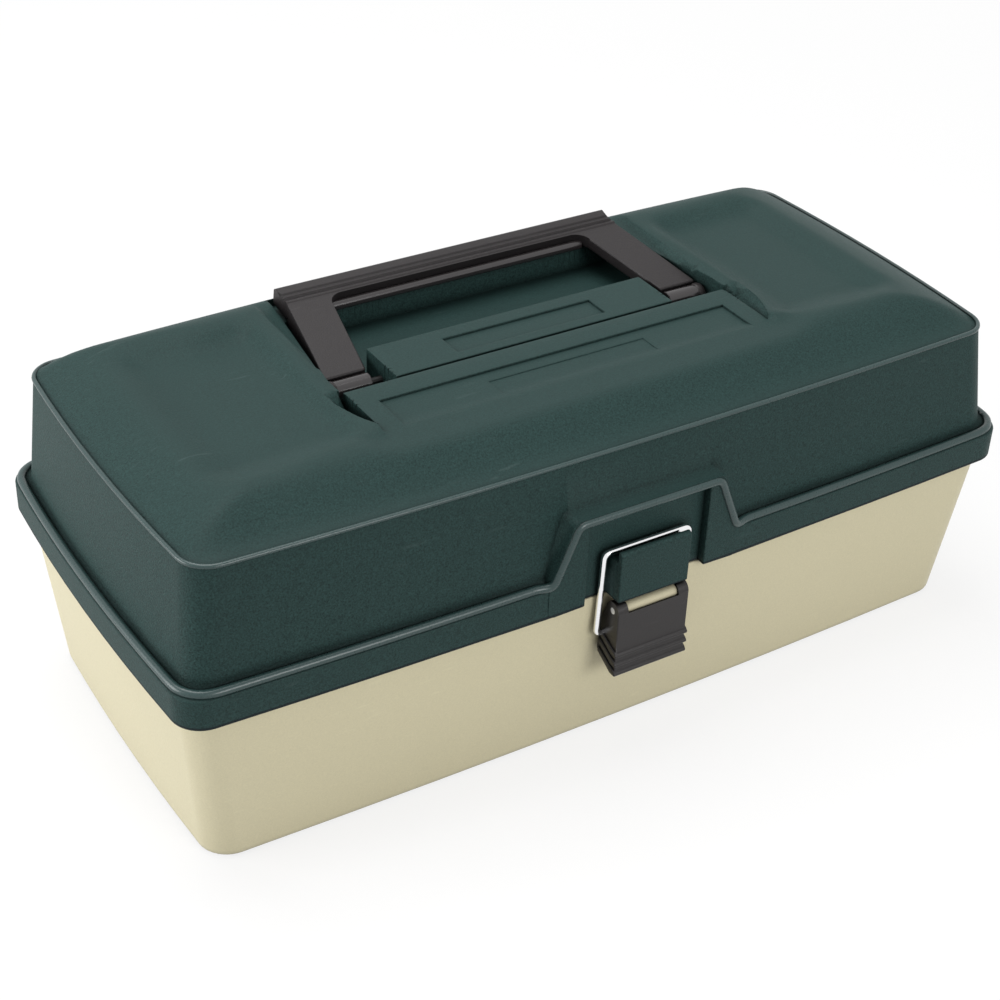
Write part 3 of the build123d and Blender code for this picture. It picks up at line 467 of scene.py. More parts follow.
steels = {
    "bail_wire": ((0.86, 0.86, 0.87), 0.08, 0.08, (900.0, 900.0, 60.0), 0.000004),
    "pin_steel": ((0.72, 0.72, 0.73), 0.2, 0.16, (60.0, 900.0, 900.0), 0.000006),
    "arm_metal": ((0.66, 0.66, 0.67), 0.24, 0.2, (800.0, 60.0, 800.0), 0.00001),
    "rivet_metal": ((0.72, 0.72, 0.73), 0.2, 0.16, (500.0, 500.0, 500.0), 0.000006),
    "black_pin": ((0.03, 0.03, 0.03), 0.4, 0.2, (60.0, 900.0, 900.0), 0.000006),
}
for name, values in steels.items():
    finishes[name] = drawn_steel(name, *values)

# %% [markdown]
# Many CAD pieces are right in shape and lack only the small radii of a real moulding, which
# catch the light along every edge. So a copy of the CAD mesh is merged into clean faces,
# its outside edges are rounded with a Bevel modifier, and the result is kept as a plain
# mesh. Choosing the edges by their angle and length keeps the rounding off small bores.

# %% Helpers for the pieces
crisp_from, rounded_from = math.radians(38), math.radians(40)


def as_object(name, mesh):
    """A new object in the scene for a mesh."""
    made = bpy.data.objects.new(name, mesh)
    scene.collection.objects.link(made)
    return made


def merged_copy(node):
    """A CAD node's mesh with its loose triangles merged, as a bmesh."""
    work = bmesh.new()
    work.from_mesh(nodes[node].data)
    bmesh.ops.remove_doubles(work, verts=work.verts[:], dist=0.002 * mm)
    return work


def flatten_faces(work):
    """Turns triangles that lie in one plane into one face."""
    bmesh.ops.dissolve_limit(
        work, angle_limit=math.radians(0.3), verts=work.verts[:], edges=work.edges[:]
    )


def bake_modifiers(obj):
    """Replaces an object's mesh by the one its modifiers make."""
    graph = bpy.context.evaluated_depsgraph_get()
    mesh = bpy.data.meshes.new_from_object(obj.evaluated_get(graph))
    obj.modifiers.clear()
    obj.data = mesh


def shade(obj):
    """Smooth shading that keeps large faces flat and sharp turns crisp."""
    obj.data.shade_smooth()
    obj.data.set_sharp_from_angle(angle=crisp_from)
    even = obj.modifiers.new("flat_faces", "WEIGHTED_NORMAL")
    even.keep_sharp = True
    even.weight = 80
    bake_modifiers(obj)


def round_edges(obj, work, radius, shortest=0.9):
    """Puts a bmesh into the object, with its outside edges rounded."""
    weight = work.edges.layers.float.new("bevel_weight_edge")
    count = 0
    for edge in work.edges:
        outside = len(edge.link_faces) == 2 and edge.is_convex
        if outside and edge.calc_length() >= shortest * mm:
            if edge.calc_face_angle() >= rounded_from:
                edge[weight] = 1.0
                count += 1
    work.to_mesh(obj.data)
    work.free()
    bevel = obj.modifiers.new("rounded_edges", "BEVEL")
    bevel.limit_method = "WEIGHT"
    bevel.width = radius * mm
    bevel.segments = 2
    bevel.use_clamp_overlap = False
    bake_modifiers(obj)
    shade(obj)
    print(obj.name, count, "edges rounded,", len(obj.data.polygons), "faces")


def hand_over(obj, node, finish=None):
    """Lets a piece ride with the body of the CAD node it stands for, in the node's finish."""
    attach(obj, nodes[node]["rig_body"])
    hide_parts(node)
    obj.data.materials.clear()
    obj.data.materials.append(finish or finishes[slot_of[node]])


# %% [markdown]
# The lid's top is one flowing surface: it rises from the shoulder in a long curve, dips
# into a soft dish at each end, and carries the panels, the wells of the handle and the
# finger recess. A CAD solid gives it flat facets, so the top is made again from formulas.
# First the CAD mesh gives up the faces that look up to the sky, and keeps its walls.

# %% Walls of the lid
shoulder = 119.1
crown = 130.6
end_bow, long_bow = 3.0, 3.7
well_front, recess_back = -8.6, 50.0
cut_half, cut_back, cut_floor = 84.3, 64.0, 115.5

work = merged_copy("lid_shell")
sky = BVHTree.FromBMesh(work)
outside = []
for face in work.faces:
    middle = face.calc_center_median()
    clear = sky.ray_cast(middle + face.normal * 0.3 * mm, Vector((0, 0, 1)))[0] is None
    in_wells = (
        abs(middle.x) < cut_half * mm
        and (well_front - 0.5) * mm < middle.y < cut_back * mm
        and middle.z > cut_floor * mm
    )
    if clear and (middle.z > (shoulder - 0.05) * mm or in_wells):
        outside.append(face)
bmesh.ops.delete(work, geom=outside, context="FACES")
print("faces of the top taken off:", len(outside))


def at_shoulder(vertex):
    """Whether a corner lies at the level of the shoulder."""
    return abs(vertex.co.z - shoulder * mm) < 0.05 * mm


rim_edges = [
    edge for edge in work.edges if len(edge.link_faces) == 1 and all(map(at_shoulder, edge.verts))
]
following = {}
for edge in rim_edges:
    for vertex in edge.verts:
        following.setdefault(vertex, []).append(edge.other_vert(vertex))
first = next(iter(following))
rim = [first]
before, here = None, first
while True:
    ahead = [v for v in following[here] if v is not before]
    before, here = here, ahead[0]
    if here is first:
        break
    rim.append(here)
rim = np.array([[v.co.x, v.co.y] for v in rim]) / mm
area = np.sum(rim[:, 0] * np.roll(rim[:, 1], -1) - np.roll(rim[:, 0], -1) * rim[:, 1]) / 2
if area < 0:
    rim = rim[::-1]
print("shoulder outline", len(rim), "points of", len(rim_edges), "edges")

lid_walls = as_object("lid_walls", bpy.data.meshes.new("lid_walls"))
flatten_faces(work)
round_edges(lid_walls, work, 0.5)
hand_over(lid_walls, "lid_shell")

# %% [markdown]
# The height of the top at any place comes from a few slopes, and the lowest of them wins.
# A soft minimum blends two surfaces over a millimetre or so, as a mould maker blends them
# with a ball cutter. The front slope is an ogee: gentle by the shoulder, steep in the
# middle, and rounded over to the top.

# %% Height of the lid's top
def soft_min(first, second, blend):
    """The lower of two heights, with their crossing rounded."""
    share = np.clip(0.5 + 0.5 * (second - first) / blend, 0, 1)
    return second * (1 - share) + first * share - blend * share * (1 - share)


def ease(value):
    """A smooth step from 0 to 1."""
    value = np.clip(value, 0, 1)
    return value * value * (3 - 2 * value)


def slope_heights(x, y):
    """The crown with its front, end and rear slopes, in millimetres."""
    across = np.clip(1 - (x / 160) ** 2, 0, 1)
    along = np.clip(1 - ((y - 2) / 68) ** 2, 0, 1)
    front = np.clip((y + 66.1 + long_bow * across) / 24.1, 0, 1)
    end = np.clip((160.1 + end_bow * along - np.abs(x)) / 36.1, 0, 1)
    rear = np.clip((70.0 + long_bow * across - y) / 20.0, 0, 1)
    missing = np.stack(
        [1 - (0.15 * front + 0.85 * ease(front)), (1 - end) ** 2, (1 - rear) ** 2]
    )
    together = np.clip(np.sum(missing**5, axis=0) ** 0.2, 0, 1)
    return shoulder + (crown - shoulder) * (1 - together)


def dish_heights(x, y):
    """The dishes beside the handle: a flat floor with sloping sides and rounded corners."""
    middle_x, middle_y, half_x, half_y, corner = 111.5, 5.5, 27.5, 44.5, 9.0
    floor_height, side_height, side_width = 126.4, 5.2, 7.5
    out_x = np.abs(np.abs(x) - middle_x) - (half_x - corner)
    out_y = np.abs(y - middle_y) - (half_y - corner)
    beyond = np.hypot(np.maximum(out_x, 0), np.maximum(out_y, 0)) - corner
    distance = beyond + np.minimum(np.maximum(out_x, out_y), 0)
    sides = 131.6 + distance * side_height / side_width
    return -soft_min(-sides, np.full_like(sides, -floor_height), 3.4)


def top_heights(x, y):
    """The lid's top outside the panels and the wells."""
    panel_level = 128.8
    beside = ease((np.abs(x) - 79.5) / 22.0)
    behind = ease((y + 42.0) / 10.0) * (np.abs(x) > 79.5)
    cap = panel_level + 2.6 * np.maximum(beside, behind)
    outward = ease((np.abs(x) - 100.0) / 25.0)
    blend = 2.0 + outward * np.where(x < 0, 5.5, 2.0) + 2.0 * ease((-20.0 - y) / 12.0)
    return soft_min(soft_min(slope_heights(x, y), dish_heights(x, y), blend), cap, 1.0)


dish_middle = top_heights(np.array([-110.0]), np.array([0.0]))
print("height over the left dish", round(float(dish_middle[0]), 2))

# %% [markdown]
# The panels and wells are cut into that surface with upright steps. Each has an outline
# seen from above and a height of its own. The front panel rolls off along its back edge, at
# a groove, and runs out into the front slope. A curved scoop lies at each of its ends. The
# regions are 1 front panel, 2 and 3 its two fields, 4 back panel, 5 the groove before it, 6
# its field, 7 scoops, 8 the grip's trough, 9 finger recess and 10 wells. 0 is all the rest.

# %% Panels, wells and their heights
front_half, back_half, trough_half, well_half = 79.5, 58.0, 73.2, 80.6
field_front, inner_front, panel_back = -38.0, -36.0, 14.5
scoop_reach, scoop_tip = 7.0, -36.0
# Each rectangle's half length, front edge and back edge, by the number of its region
rectangles = {
    1: (front_half, -44.0, well_front),
    2: (71.5, field_front, -19.5),
    3: (32.0, inner_front, -25.0),
    4: (back_half, well_front, panel_back),
    5: (back_half, well_front, -7.2),
    6: (31.0, -2.5, 8.0),
    8: (trough_half, recess_back, 63.0),
    9: (back_half, panel_back, recess_back),
}
flat_levels = {4: 128.0, 5: 126.6, 6: 127.1, 8: 124.6, 9: 116.0, 10: 116.0}


def scoop_share(y):
    """How far along a scoop a place lies, from 0 at the well to 1 at its tip."""
    return np.clip((well_front - y) / (well_front - scoop_tip), 0, 1)


def scoop_width(y):
    """How far a scoop reaches out from the front panel's end."""
    return scoop_reach * (1 - scoop_share(y) ** 2.2)


def well_reach(y):
    """The outer wall of a handle well, which follows the handle's arm."""
    return well_half + (trough_half - well_half) * np.clip(y / recess_back, 0, 1)


def region_of(x, y):
    """The number of the region that a place lies in."""
    ax = np.abs(x)
    region = np.zeros(len(x), int)
    for number, (half, front, back) in rectangles.items():
        region[(ax < half) & (y > front) & (y < back)] = number
    in_scoop = (ax > front_half) & (ax < front_half + scoop_width(y))
    region[in_scoop & (y > scoop_tip) & (y < well_front)] = 7
    in_well = (ax > back_half) & (ax < well_reach(y))
    region[in_well & (y > well_front) & (y < recess_back)] = 10
    return region


def region_height(region, x, y):
    """The height of one region at places in it or on its edge."""
    top = top_heights(x, y)
    ax = np.abs(x)
    # The rest of the top dips a little beside the wells
    beside = np.clip(ax - well_reach(y), 0, None)
    along = ease((y + 14.0) / 8.0) * ease((58.0 - y) / 8.0)
    dipped = top - 1.5 * along * np.exp(-((beside / 3.5) ** 2)) * (ax > 73.0)
    if region == 0:
        return dipped
    if region == 1:
        return top - 0.6 * np.exp(-(((y - well_front) / 1.6) ** 2))
    field = top - 0.9 * ease((y - field_front) / 5.0)
    if region == 2:
        return field
    if region == 3:
        return field - 0.4 * ease((y - inner_front) / 4.0)
    if region == 7:
        # A scoop is deepest by the panel and the well, and runs out at its tip and outer edge
        low = np.minimum(dipped, 122.3 + 6.5 * scoop_share(y) ** 1.9)
        shallow = np.clip((ax - front_half) / (scoop_width(y) + 1e-6), 0, 1) ** 1.6
        past_well = np.clip((ax - 79.9) / 1.5, 0, 1) * (1 - ease((well_front - y) / 7.0))
        return low + (dipped - low) * np.maximum(shallow, past_well)
    return np.full_like(x, flat_levels[region])


outlines = [
    [(-half, front), (half, front), (half, back), (-half, back)]
    for half, front, back in rectangles.values()
]
for side in (-1, 1):
    outlines.append(
        [
            (side * back_half, well_front),
            (side * well_half, well_front),
            (side * well_half, 0.0),
            (side * trough_half, recess_back),
            (side * back_half, recess_back),
        ]
    )
    places = np.linspace(well_front, scoop_tip, 12)
    curve = [(side * (front_half + scoop_width(y)), y) for y in places]
    outlines.append(curve + [(side * front_half, scoop_tip), (side * front_half, well_front)])
print(len(outlines), "outlines in the lid's top")

# %% [markdown]
# The surface itself is a net of triangles. Delaunay triangulation joins a grid of points
# and keeps every outline as an edge, so the steps stay crisp with few faces. A point on an
# outline is made once for each region that meets there, and an upright wall closes the
# step between two regions.

# %% Net of the lid's top
def divided(path, spacing):
    """A closed path with points added so that no step is longer than the spacing."""
    points = []
    for i in range(len(path)):
        a, b = np.array(path[i]), np.array(path[(i + 1) % len(path)])
        steps = max(1, math.ceil(np.linalg.norm(b - a) / spacing))
        points.extend(a + (b - a) * s / steps for s in range(steps))
    return np.array(points)


def inset_path(path, distance):
    """A closed counter-clockwise path moved inward."""
    along = np.roll(path, -1, axis=0) - np.roll(path, 1, axis=0)
    along /= np.linalg.norm(along, axis=1)[:, None]
    return path + distance * np.stack([-along[:, 1], along[:, 0]], axis=1)


def distance_to(points, starts, ends):
    """Each point's distance to the nearest of a set of segments."""
    nearest = np.full(len(points), 1e9)
    for a, b in zip(starts, ends):
        run = b - a
        length = max(float(run @ run), 1e-12)
        share = np.clip((points - a) @ run / length, 0, 1)
        nearest = np.minimum(nearest, np.linalg.norm(points - a - share[:, None] * run, axis=1))
    return nearest


def is_inside(points, path):
    """Which points lie inside a closed path."""
    found = np.zeros(len(points), bool)
    for (x1, y1), (x2, y2) in zip(path, np.roll(path, -1, axis=0)):
        crosses = (y1 > points[:, 1]) != (y2 > points[:, 1])
        if y1 != y2:
            at = x1 + (points[:, 1] - y1) / (y2 - y1) * (x2 - x1)
            found ^= crosses & (points[:, 0] < at)
    return found


rim = divided(rim, 4.0)
top_edge = inset_path(rim, 0.9)
plan, links = [], []
for path in [top_edge] + [divided(outline, 2.5) for outline in outlines]:
    base = len(plan)
    plan.extend(path.tolist())
    links.extend((base + i, base + (i + 1) % len(path)) for i in range(len(path)))
fixed = np.array(plan)
starts = fixed[[a for a, b in links]]
ends = fixed[[b for a, b in links]]
spacing = 2.2
columns, rows = np.arange(-162, 162.1, spacing), np.arange(-70, 73, spacing)
grid = np.stack(np.meshgrid(columns, rows), axis=-1).reshape(-1, 2)
grid = grid[is_inside(grid, top_edge)]
grid = grid[distance_to(grid, starts, ends) > 1.0]
plan.extend(grid.tolist())
flat = [Vector(p) for p in plan]
points, _, triangles, _, _, _ = delaunay_2d_cdt(flat, links, [], 0, 0.0001)
points = np.array([tuple(p) for p in points])
triangles = np.array([t for t in triangles if len(t) == 3])
triangles = triangles[is_inside(points[triangles].mean(axis=1), top_edge)]
middles = points[triangles].mean(axis=1)
to_second = points[triangles[:, 1]] - points[triangles[:, 0]]
to_third = points[triangles[:, 2]] - points[triangles[:, 0]]
turns = to_second[:, 0] * to_third[:, 1] - to_second[:, 1] * to_third[:, 0]
triangles[turns < 0] = triangles[turns < 0][:, ::-1]
regions = region_of(middles[:, 0], middles[:, 1])
print("net of", len(points), "points and", len(triangles), "triangles")

# %% [markdown]
# The net becomes a mesh with the heights of its regions, and steps are closed by faces that
# use every corner on their upright edges. Rings of points then carry the surface over the
# shoulder in a small rolled edge, which hides the joint with the walls.

# %% Lid's top as a mesh
corners, faces, index_of = [], [], {}
for region in sorted(set(regions)):
    used = np.unique(triangles[regions == region])
    heights = region_height(region, points[used, 0], points[used, 1])
    for point, height in zip(used, heights):
        index_of[point, region] = len(corners)
        corners.append((*points[point], height))
sides = {}
for triangle, region in zip(triangles.tolist(), regions):
    faces.append([index_of[p, region] for p in triangle])
    for a, b in zip(triangle, triangle[1:] + triangle[:1]):
        sides[a, b] = region
regions_at = {}
for (point, region), index in index_of.items():
    regions_at.setdefault(point, []).append((corners[index][2], index))


def upright_edge(point, start, end):
    """The corners on an upright line between two regions' corners at a point."""
    low, high = sorted((corners[start][2], corners[end][2]))
    between = [i for height, i in sorted(regions_at[point]) if low < height < high]
    if corners[start][2] > corners[end][2]:
        between.reverse()
    return [start, *between, end]


for (a, b), region in sides.items():
    other = sides.get((b, a))
    if other is not None and other != region and a < b:
        down = upright_edge(a, index_of[a, region], index_of[a, other])
        rise = upright_edge(b, index_of[b, other], index_of[b, region])
        faces.append(down + rise)

edge_height = top_heights(top_edge[:, 0], top_edge[:, 1])
rolled_edge = [
    (-0.25, 118.6),
    (-0.32, 119.0),
    (-0.1, 119.4),
    (0.25, 119.55),
    (0.6, 119.4),
    (0.8, 118.9),
]
rings = []
for inward, height in rolled_edge:
    ring = inset_path(rim, inward)
    rings.append(len(corners))
    corners.extend((x, y, height) for x, y in ring)
rings.append(len(corners))
corners.extend((x, y, z) for (x, y), z in zip(top_edge, edge_height))
for low, high in zip(rings, rings[1:]):
    for i in range(len(rim)):
        j = (i + 1) % len(rim)
        faces.append([low + i, low + j, high + j, high + i])

lid_top = as_object("lid_top", bpy.data.meshes.new("lid_top"))
work = bmesh.new()
made = [work.verts.new(Vector(c) * mm) for c in corners]
for face in faces:
    distinct = list(dict.fromkeys(face))
    if len(distinct) > 2:
        try:
            work.faces.new([made[i] for i in distinct])
        except ValueError:
            pass  # the face is there already
bmesh.ops.remove_doubles(work, verts=work.verts[:], dist=0.01 * mm)
bmesh.ops.dissolve_degenerate(work, edges=work.edges[:], dist=0.005 * mm)
work.normal_update()
round_edges(lid_top, work, 0.45, shortest=0.6)
hand_over(lid_top, "lid_shell")

# %% [markdown]
# A rolled bead runs along the top of the lip and up round the latch plate, and stiffens the
# thin edge of the lid. A finer one follows the shoulder. Each is a round cord of plastic
# laid along one closed path, so a curve with a bevel makes it. Beads are the places where a
# mould is polished, so they are smoother than the grained walls. Their colour is a little
# lighter than the lid's, as a painted highlight.

# %% Beads round the lip, the latch plate and the shoulder
def rounded_path(points, radius, steps=5):
    """A closed path whose corners are replaced by short arcs."""
    path = []
    for i, here in enumerate(points):
        before, after = points[i - 1], points[(i + 1) % len(points)]
        to_before, to_after = before - here, after - here
        reach = min(radius, to_before.length / 2, to_after.length / 2)
        first = here + to_before.normalized() * reach
        last = here + to_after.normalized() * reach
        for step in range(steps + 1):
            t = step / steps
            path.append(first * (1 - t) ** 2 + here * 2 * t * (1 - t) + last * t**2)
    return path


def round_bar(name, path, radius, closed=True):
    """A round bar along a path in millimetres, as a plain mesh."""
    line = bpy.data.curves.new(name, "CURVE")
    line.dimensions = "3D"
    line.bevel_depth = radius * mm
    line.bevel_resolution = 4
    line.use_fill_caps = not closed
    spline = line.splines.new("POLY")
    spline.points.add(len(path) - 1)
    for point, place in zip(spline.points, path):
        point.co = (*(Vector(place) * mm), 1.0)
    spline.use_cyclic_u = closed
    holder = bpy.data.objects.new(name, line)
    scene.collection.objects.link(holder)
    graph = bpy.context.evaluated_depsgraph_get()
    mesh = bpy.data.meshes.new_from_object(holder.evaluated_get(graph))
    bpy.data.objects.remove(holder)
    made = as_object(name, mesh)
    mesh.shade_smooth()
    print(name, len(mesh.polygons), "faces")
    return made


lip_half_length, lip_half_depth, lip_corner = 170.0, 76.0, 11.0
lip_top, lip_front = 77.0, -79.7
bead_radius, bead_inset = 1.6, 1.8


def lip_point(along, inset):
    """A place on the lip's outline, from 0 to 1 anticlockwise from the front's middle."""
    u, v = lip_half_length - inset, lip_half_depth - inset
    corner = lip_corner - inset
    straight_x, straight_y = u - corner, v - corner
    arc = corner * math.pi / 2

    def bend(x_sign, y_sign, walk):
        """A place on a corner's arc. Its turn starts on the straight run before it."""
        across, onward = corner * math.sin(walk / corner), corner * math.cos(walk / corner)
        if x_sign == y_sign:
            across, onward = onward, across
        return x_sign * (straight_x + across), y_sign * (straight_y + onward)

    runs = [
        (straight_x, lambda walk: (walk, -v)),
        (arc, lambda walk: bend(1, -1, walk)),
        (2 * straight_y, lambda walk: (u, walk - straight_y)),
        (arc, lambda walk: bend(1, 1, walk)),
        (2 * straight_x, lambda walk: (straight_x - walk, v)),
        (arc, lambda walk: bend(-1, 1, walk)),
        (2 * straight_y, lambda walk: (-u, straight_y - walk)),
        (arc, lambda walk: bend(-1, -1, walk)),
        (straight_x, lambda walk: (walk - straight_x, -v)),
    ]
    left = along * sum(length for length, place in runs)
    for length, place in runs:
        if left <= length + 1e-9:
            x, y = place(left)
            break
        left -= length
    bowed_x = x + x / u * end_bow * (1 - (y / v) ** 2)
    bowed_y = y + y / v * long_bow * (1 - (x / u) ** 2)
    return Vector((bowed_x, bowed_y, 0))


bead_level = lip_top + 1.2
lip_walk = [lip_point(t, bead_inset) for t in np.linspace(0, 1, 241)[:-1]]
lip_walk = [Vector((p.x, p.y, bead_level)) for p in lip_walk if abs(p.x) > 42 or p.y > 0]
plate_front = lip_front + 0.45
foot_half, top_half, plate_top = 40.0 - bead_inset, 31.0 - bead_inset, 101.8 - bead_inset
plate_walk = [
    Vector((-foot_half, plate_front, bead_level)),
    Vector((-top_half, plate_front, plate_top)),
    Vector((top_half, plate_front, plate_top)),
    Vector((foot_half, plate_front, bead_level)),
]
bead_path = rounded_path(plate_walk + lip_walk, 2.6)
lip_bead = round_bar("lip_bead", bead_path, bead_radius)
hand_over(lip_bead, "lid_shell", finish=finishes["smooth_highlit_lid"])
shoulder_walk = [Vector((x, y, shoulder + 0.15)) for x, y in inset_path(rim, 0.3)]
shoulder_bead = round_bar("shoulder_bead", shoulder_walk, 0.85)
hand_over(shoulder_bead, "lid_shell", finish=finishes["smooth_highlit_lid"])

# %% [markdown]
# The bail is a loop of plated wire. Its two feet turn in the lever's cheeks, and its top bar
# drops behind the catch. Rounded bends make it read as wire.

# %% Wire bail
bail_half, foot_end, wire_radius = 17.6, 11.75, 1.2
foot_y, foot_z = -77.3, 49.8
bar_y, bar_z = -78.7, 84.3
wire = [
    Vector((-foot_end, foot_y, foot_z)),
    Vector((-bail_half, foot_y, foot_z)),
    Vector((-bail_half, bar_y, bar_z)),
    Vector((bail_half, bar_y, bar_z)),
    Vector((bail_half, foot_y, foot_z)),
    Vector((foot_end, foot_y, foot_z)),
]
steps = 6
bends = rounded_path(wire, 2.2, steps)
loop = [wire[0]] + bends[steps + 1 : -steps - 1] + [wire[-1]]
bail = round_bar("bail", loop, wire_radius, closed=False)
hand_over(bail, "latch_bail")

# %% [markdown]
# The tub, handle, lever, trays, dividers and arms keep the shapes of their CAD solids, with
# the radii that their moulds and dies give them.

# %% Mouldings and pressings with rounded edges
radii = {
    "base_tub": 0.6,
    "handle": 0.8,
    "latch_lever": 0.4,
    "lower_tray": 0.4,
    "upper_tray": 0.4,
    "lower_tray_dividers": 0.3,
    "upper_tray_dividers": 0.3,
    "front_arm_left": 0.25,
    "front_arm_right": 0.25,
    "rear_arm_left": 0.25,
    "rear_arm_right": 0.25,
}
for node, radius in radii.items():
    piece = as_object(node + "_finished", bpy.data.meshes.new(node + "_finished"))
    work = merged_copy(node)
    flatten_faces(work)
    round_edges(piece, work, radius)
    hand_over(piece, node)

# %% [markdown]
# A round roll under the front of the grip keeps its edge kind to the fingers. It lies in the
# plane of the handle, which is pitched by nine degrees when the handle is folded. The two
# barrels at the pivots are polished by turning, so they and the roll get a smoother black.
# That black is a little lighter than the handle's, as a painted highlight.

# %% Roll under the grip and the barrels
pitch = math.radians(9.0)
handle_pivot = Vector((0, 3.5, 121.0))


def on_handle(x, back, rise):
    """A place in the handle's own plane, in millimetres of the box."""
    return handle_pivot + Vector(
        (
            x,
            back * math.cos(pitch) - rise * math.sin(pitch),
            back * math.sin(pitch) + rise * math.cos(pitch),
        )
    )


roll_half, roll_radius = 54.0, 1.9
roll_ends = [on_handle(x, 45.4, -0.7) for x in (-roll_half, roll_half)]
grip_roll = round_bar("grip_roll", roll_ends, roll_radius, closed=False)
hand_over(grip_roll, "handle", finish=finishes["polished_highlit_black"])
barrel_inner, barrel_outer, barrel_radius = 63.3, 79.1, 3.95
for name, side in (("left", -1), ("right", 1)):
    ends = [handle_pivot + Vector((side * x, 0, 0)) for x in (barrel_inner, barrel_outer)]
    barrel = round_bar("barrel_" + name, ends, barrel_radius, closed=False)
    hand_over(barrel, "handle", finish=finishes["polished_highlit_black"])

# %% [markdown]
# The same rivet joins every swing arm to its tray or to the tub. It has a head, a round
# shoulder that the arm turns on and a square neck. One Geometry Nodes tree builds it from
# named sizes and sets it on points, and each point carries the direction the rivet aims in.

# %% Tree for rivets and pins
rivet_tree = bpy.data.node_groups.new("rivets_on_points", "GeometryNodeTree")
face_in = rivet_tree.interface
face_in.new_socket("Points", in_out="INPUT", socket_type="NodeSocketGeometry")
for label in (
    "Head Radius",
    "Head Height",
    "Shoulder Radius",
    "Shoulder Length",
    "Neck Width",
    "Neck Length",
):
    face_in.new_socket(label, in_out="INPUT", socket_type="NodeSocketFloat")
face_in.new_socket("Finish", in_out="INPUT", socket_type="NodeSocketMaterial")
face_in.new_socket("Rivets", in_out="OUTPUT", socket_type="NodeSocketGeometry")


def grow(kind, **named):
    """A node of the rivet tree."""
    return add_node(rivet_tree, kind, **named)


def half_of(value, more=0.0):
    """Half of a length, plus another length."""
    return calculate(rivet_tree, "MULTIPLY_ADD", value, 0.5, more)


def upward(mesh, distance):
    """A mesh moved up by a distance."""
    offset = grow("ShaderNodeCombineXYZ", Z=distance)
    return grow("GeometryNodeTransform", Geometry=mesh, Translation=offset.outputs[0]).outputs[0]


size = rivet_tree.nodes.new("NodeGroupInput").outputs
crown_radius = half_of(size["Head Radius"], half_of(size["Head Radius"]))
head = grow(
    "GeometryNodeMeshCone",
    Vertices=24,
    Radius_Top=size["Head Radius"],
    Radius_Bottom=crown_radius,
    Depth=size["Head Height"],
)
below = calculate(rivet_tree, "MULTIPLY", size["Head Height"], -1.0)
shoulder_bar = grow(
    "GeometryNodeMeshCylinder",
    Vertices=24,
    Radius=size["Shoulder Radius"],
    Depth=size["Shoulder Length"],
)
neck_size = grow(
    "ShaderNodeCombineXYZ", X=size["Neck Width"], Y=size["Neck Width"], Z=size["Neck Length"]
)
neck = grow("GeometryNodeMeshCube", Size=neck_size.outputs[0])
whole = rivet_tree.nodes.new("GeometryNodeJoinGeometry")
for part in (
    upward(head.outputs["Mesh"], below),
    upward(shoulder_bar.outputs["Mesh"], half_of(size["Shoulder Length"])),
    upward(neck.outputs["Mesh"], half_of(size["Neck Length"], size["Shoulder Length"])),
):
    rivet_tree.links.new(part, whole.inputs[0])
aim = grow("GeometryNodeInputNamedAttribute", data_type="FLOAT_VECTOR", Name="aim")
facing = grow("FunctionNodeAlignRotationToVector", axis="Z", Vector=aim.outputs["Attribute"])
placed = grow(
    "GeometryNodeInstanceOnPoints",
    Points=size["Points"],
    Instance=whole.outputs[0],
    Rotation=facing.outputs[0],
)
real = grow("GeometryNodeRealizeInstances", Geometry=placed.outputs[0])
coated = grow("GeometryNodeSetMaterial", Geometry=real.outputs[0], Material=size["Finish"])
result = rivet_tree.nodes.new("NodeGroupOutput")
rivet_tree.links.new(coated.outputs[0], result.inputs["Rivets"])
print("rivet tree has", len(rivet_tree.nodes), "nodes")

# %% [markdown]
# The frame says where the rivets sit. Each one is a loose island of its CAD node, and the
# radii of its corners tell its head from its shoulder and its neck.

# %% Rivets and pins on their bodies
def islands(node):
    """The corner places of each loose part of a CAD node, in millimetres."""
    work = merged_copy(node)
    left, found = set(work.verts), []
    while left:
        queue = [left.pop()]
        part = list(queue)
        while queue:
            for edge in queue.pop().link_edges:
                for vertex in edge.verts:
                    if vertex in left:
                        left.remove(vertex)
                        queue.append(vertex)
                        part.append(vertex)
        found.append(np.array([tuple(v.co) for v in part]) / mm)
    work.free()
    return found


# A corner's distance from the rivet's line tells head, shoulder and neck apart
head_from, neck_to = 2.6, 1.65


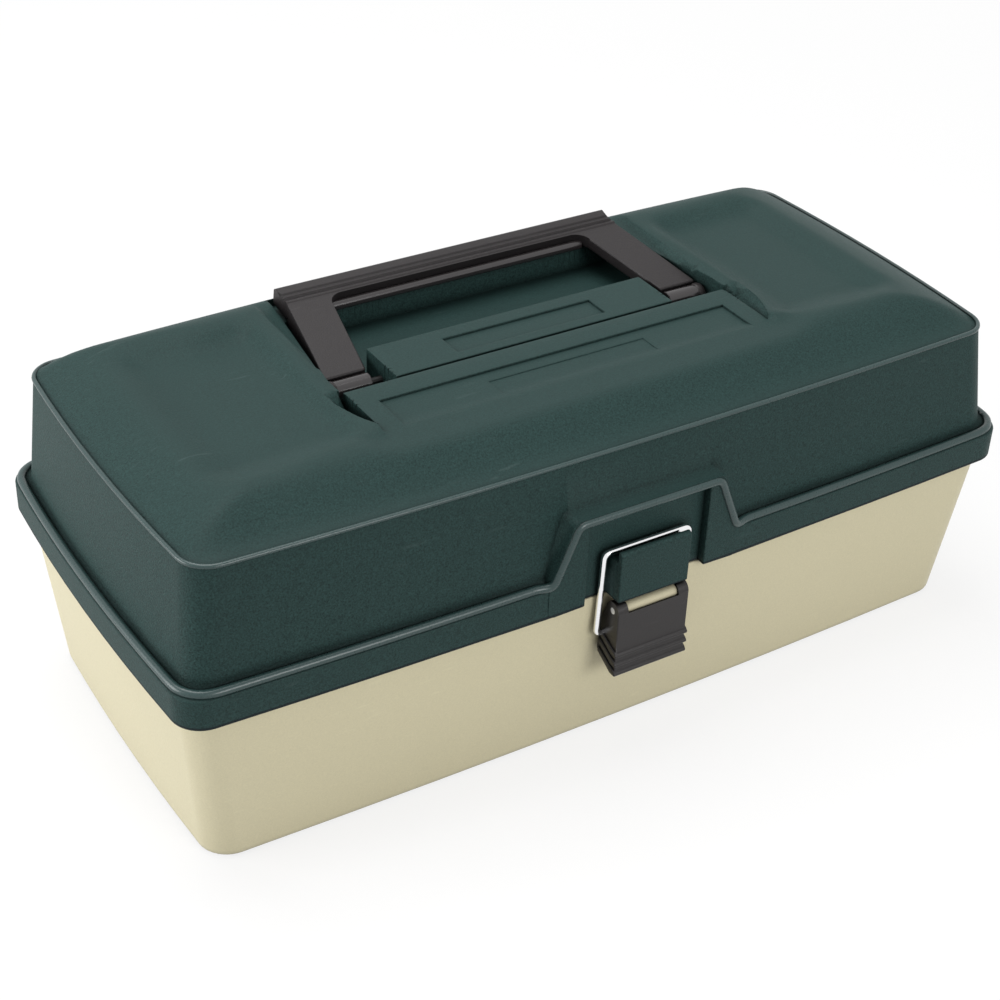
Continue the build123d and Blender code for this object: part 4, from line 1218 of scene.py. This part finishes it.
def set_rivets(node, has_head):
    """Round rivets or pins in place of a CAD node, in one mesh.

    Sizes are head radius and height, shoulder radius and length, neck width and length.
    """
    joined = bmesh.new()
    for part in islands(node):
        middle = (part.min(axis=0) + part.max(axis=0)) / 2
        spread = np.hypot(part[:, 1] - middle[1], part[:, 2] - middle[2])
        x = part[:, 0]
        if has_head:
            head_x, neck_x = x[spread > head_from], x[spread < neck_to]
            bar_x = x[(spread > neck_to) & (spread < head_from)]
            inward = 1.0 if neck_x.mean() > head_x.mean() else -1.0
            start, bar_end = (head_x * inward).max(), (bar_x * inward).max()
            neck_length = (neck_x * inward).max() - bar_end
            sizes = (3.3, 0.65, 1.75, bar_end - start, 2.1, neck_length)
        else:
            inward = 1.0 if middle[0] > 0 else -1.0
            start = (x * inward).min() + 0.4
            sizes = (1.7, 0.4, 1.75, (x * inward).max() - start - 0.4, 1.6, 0.3)
        seed = bpy.data.meshes.new("seed")
        seed.from_pydata([(start * inward * mm, middle[1] * mm, middle[2] * mm)], [], [])
        direction = seed.attributes.new("aim", "FLOAT_VECTOR", "POINT")
        direction.data[0].vector = (inward, 0, 0)
        holder = as_object("seed", seed)
        growth = holder.modifiers.new("rivets", "NODES")
        growth.node_group = rivet_tree
        inputs = [s.identifier for s in rivet_tree.interface.items_tree if s.in_out == "INPUT"]
        for place, length in zip(inputs[1:], sizes):
            growth[place] = length * mm
        growth[inputs[-1]] = finishes["rivet_metal"]
        graph = bpy.context.evaluated_depsgraph_get()
        grown = bpy.data.meshes.new_from_object(holder.evaluated_get(graph))
        joined.from_mesh(grown)
        bpy.data.objects.remove(holder)
    made = as_object(node + "_round", bpy.data.meshes.new(node + "_round"))
    joined.to_mesh(made.data)
    joined.free()
    if "aim" in made.data.attributes:
        made.data.attributes.remove(made.data.attributes["aim"])
    made.data.shade_smooth()
    made.data.set_sharp_from_angle(angle=math.radians(30))
    hand_over(made, node)


for node in ("lower_tray_rivets", "upper_tray_rivets", "base_arm_rivets"):
    set_rivets(node, True)
set_rivets("lid_tray_pins", False)

# %% [markdown]
# What still shows its CAD mesh is round already: the pins of the handle, the hinges and the
# lever. Each takes its steel. The handle's pins are blackened, because the photograph shows
# only dark gaps there.

# %% Pins that keep their CAD mesh
for name, obj in nodes.items():
    if not obj.hide_render:
        obj.data.materials.clear()
        blackened = name.startswith("handle_pin")
        obj.data.materials.append(finishes["black_pin" if blackened else slot_of[name]])
        print(name, "keeps its mesh")
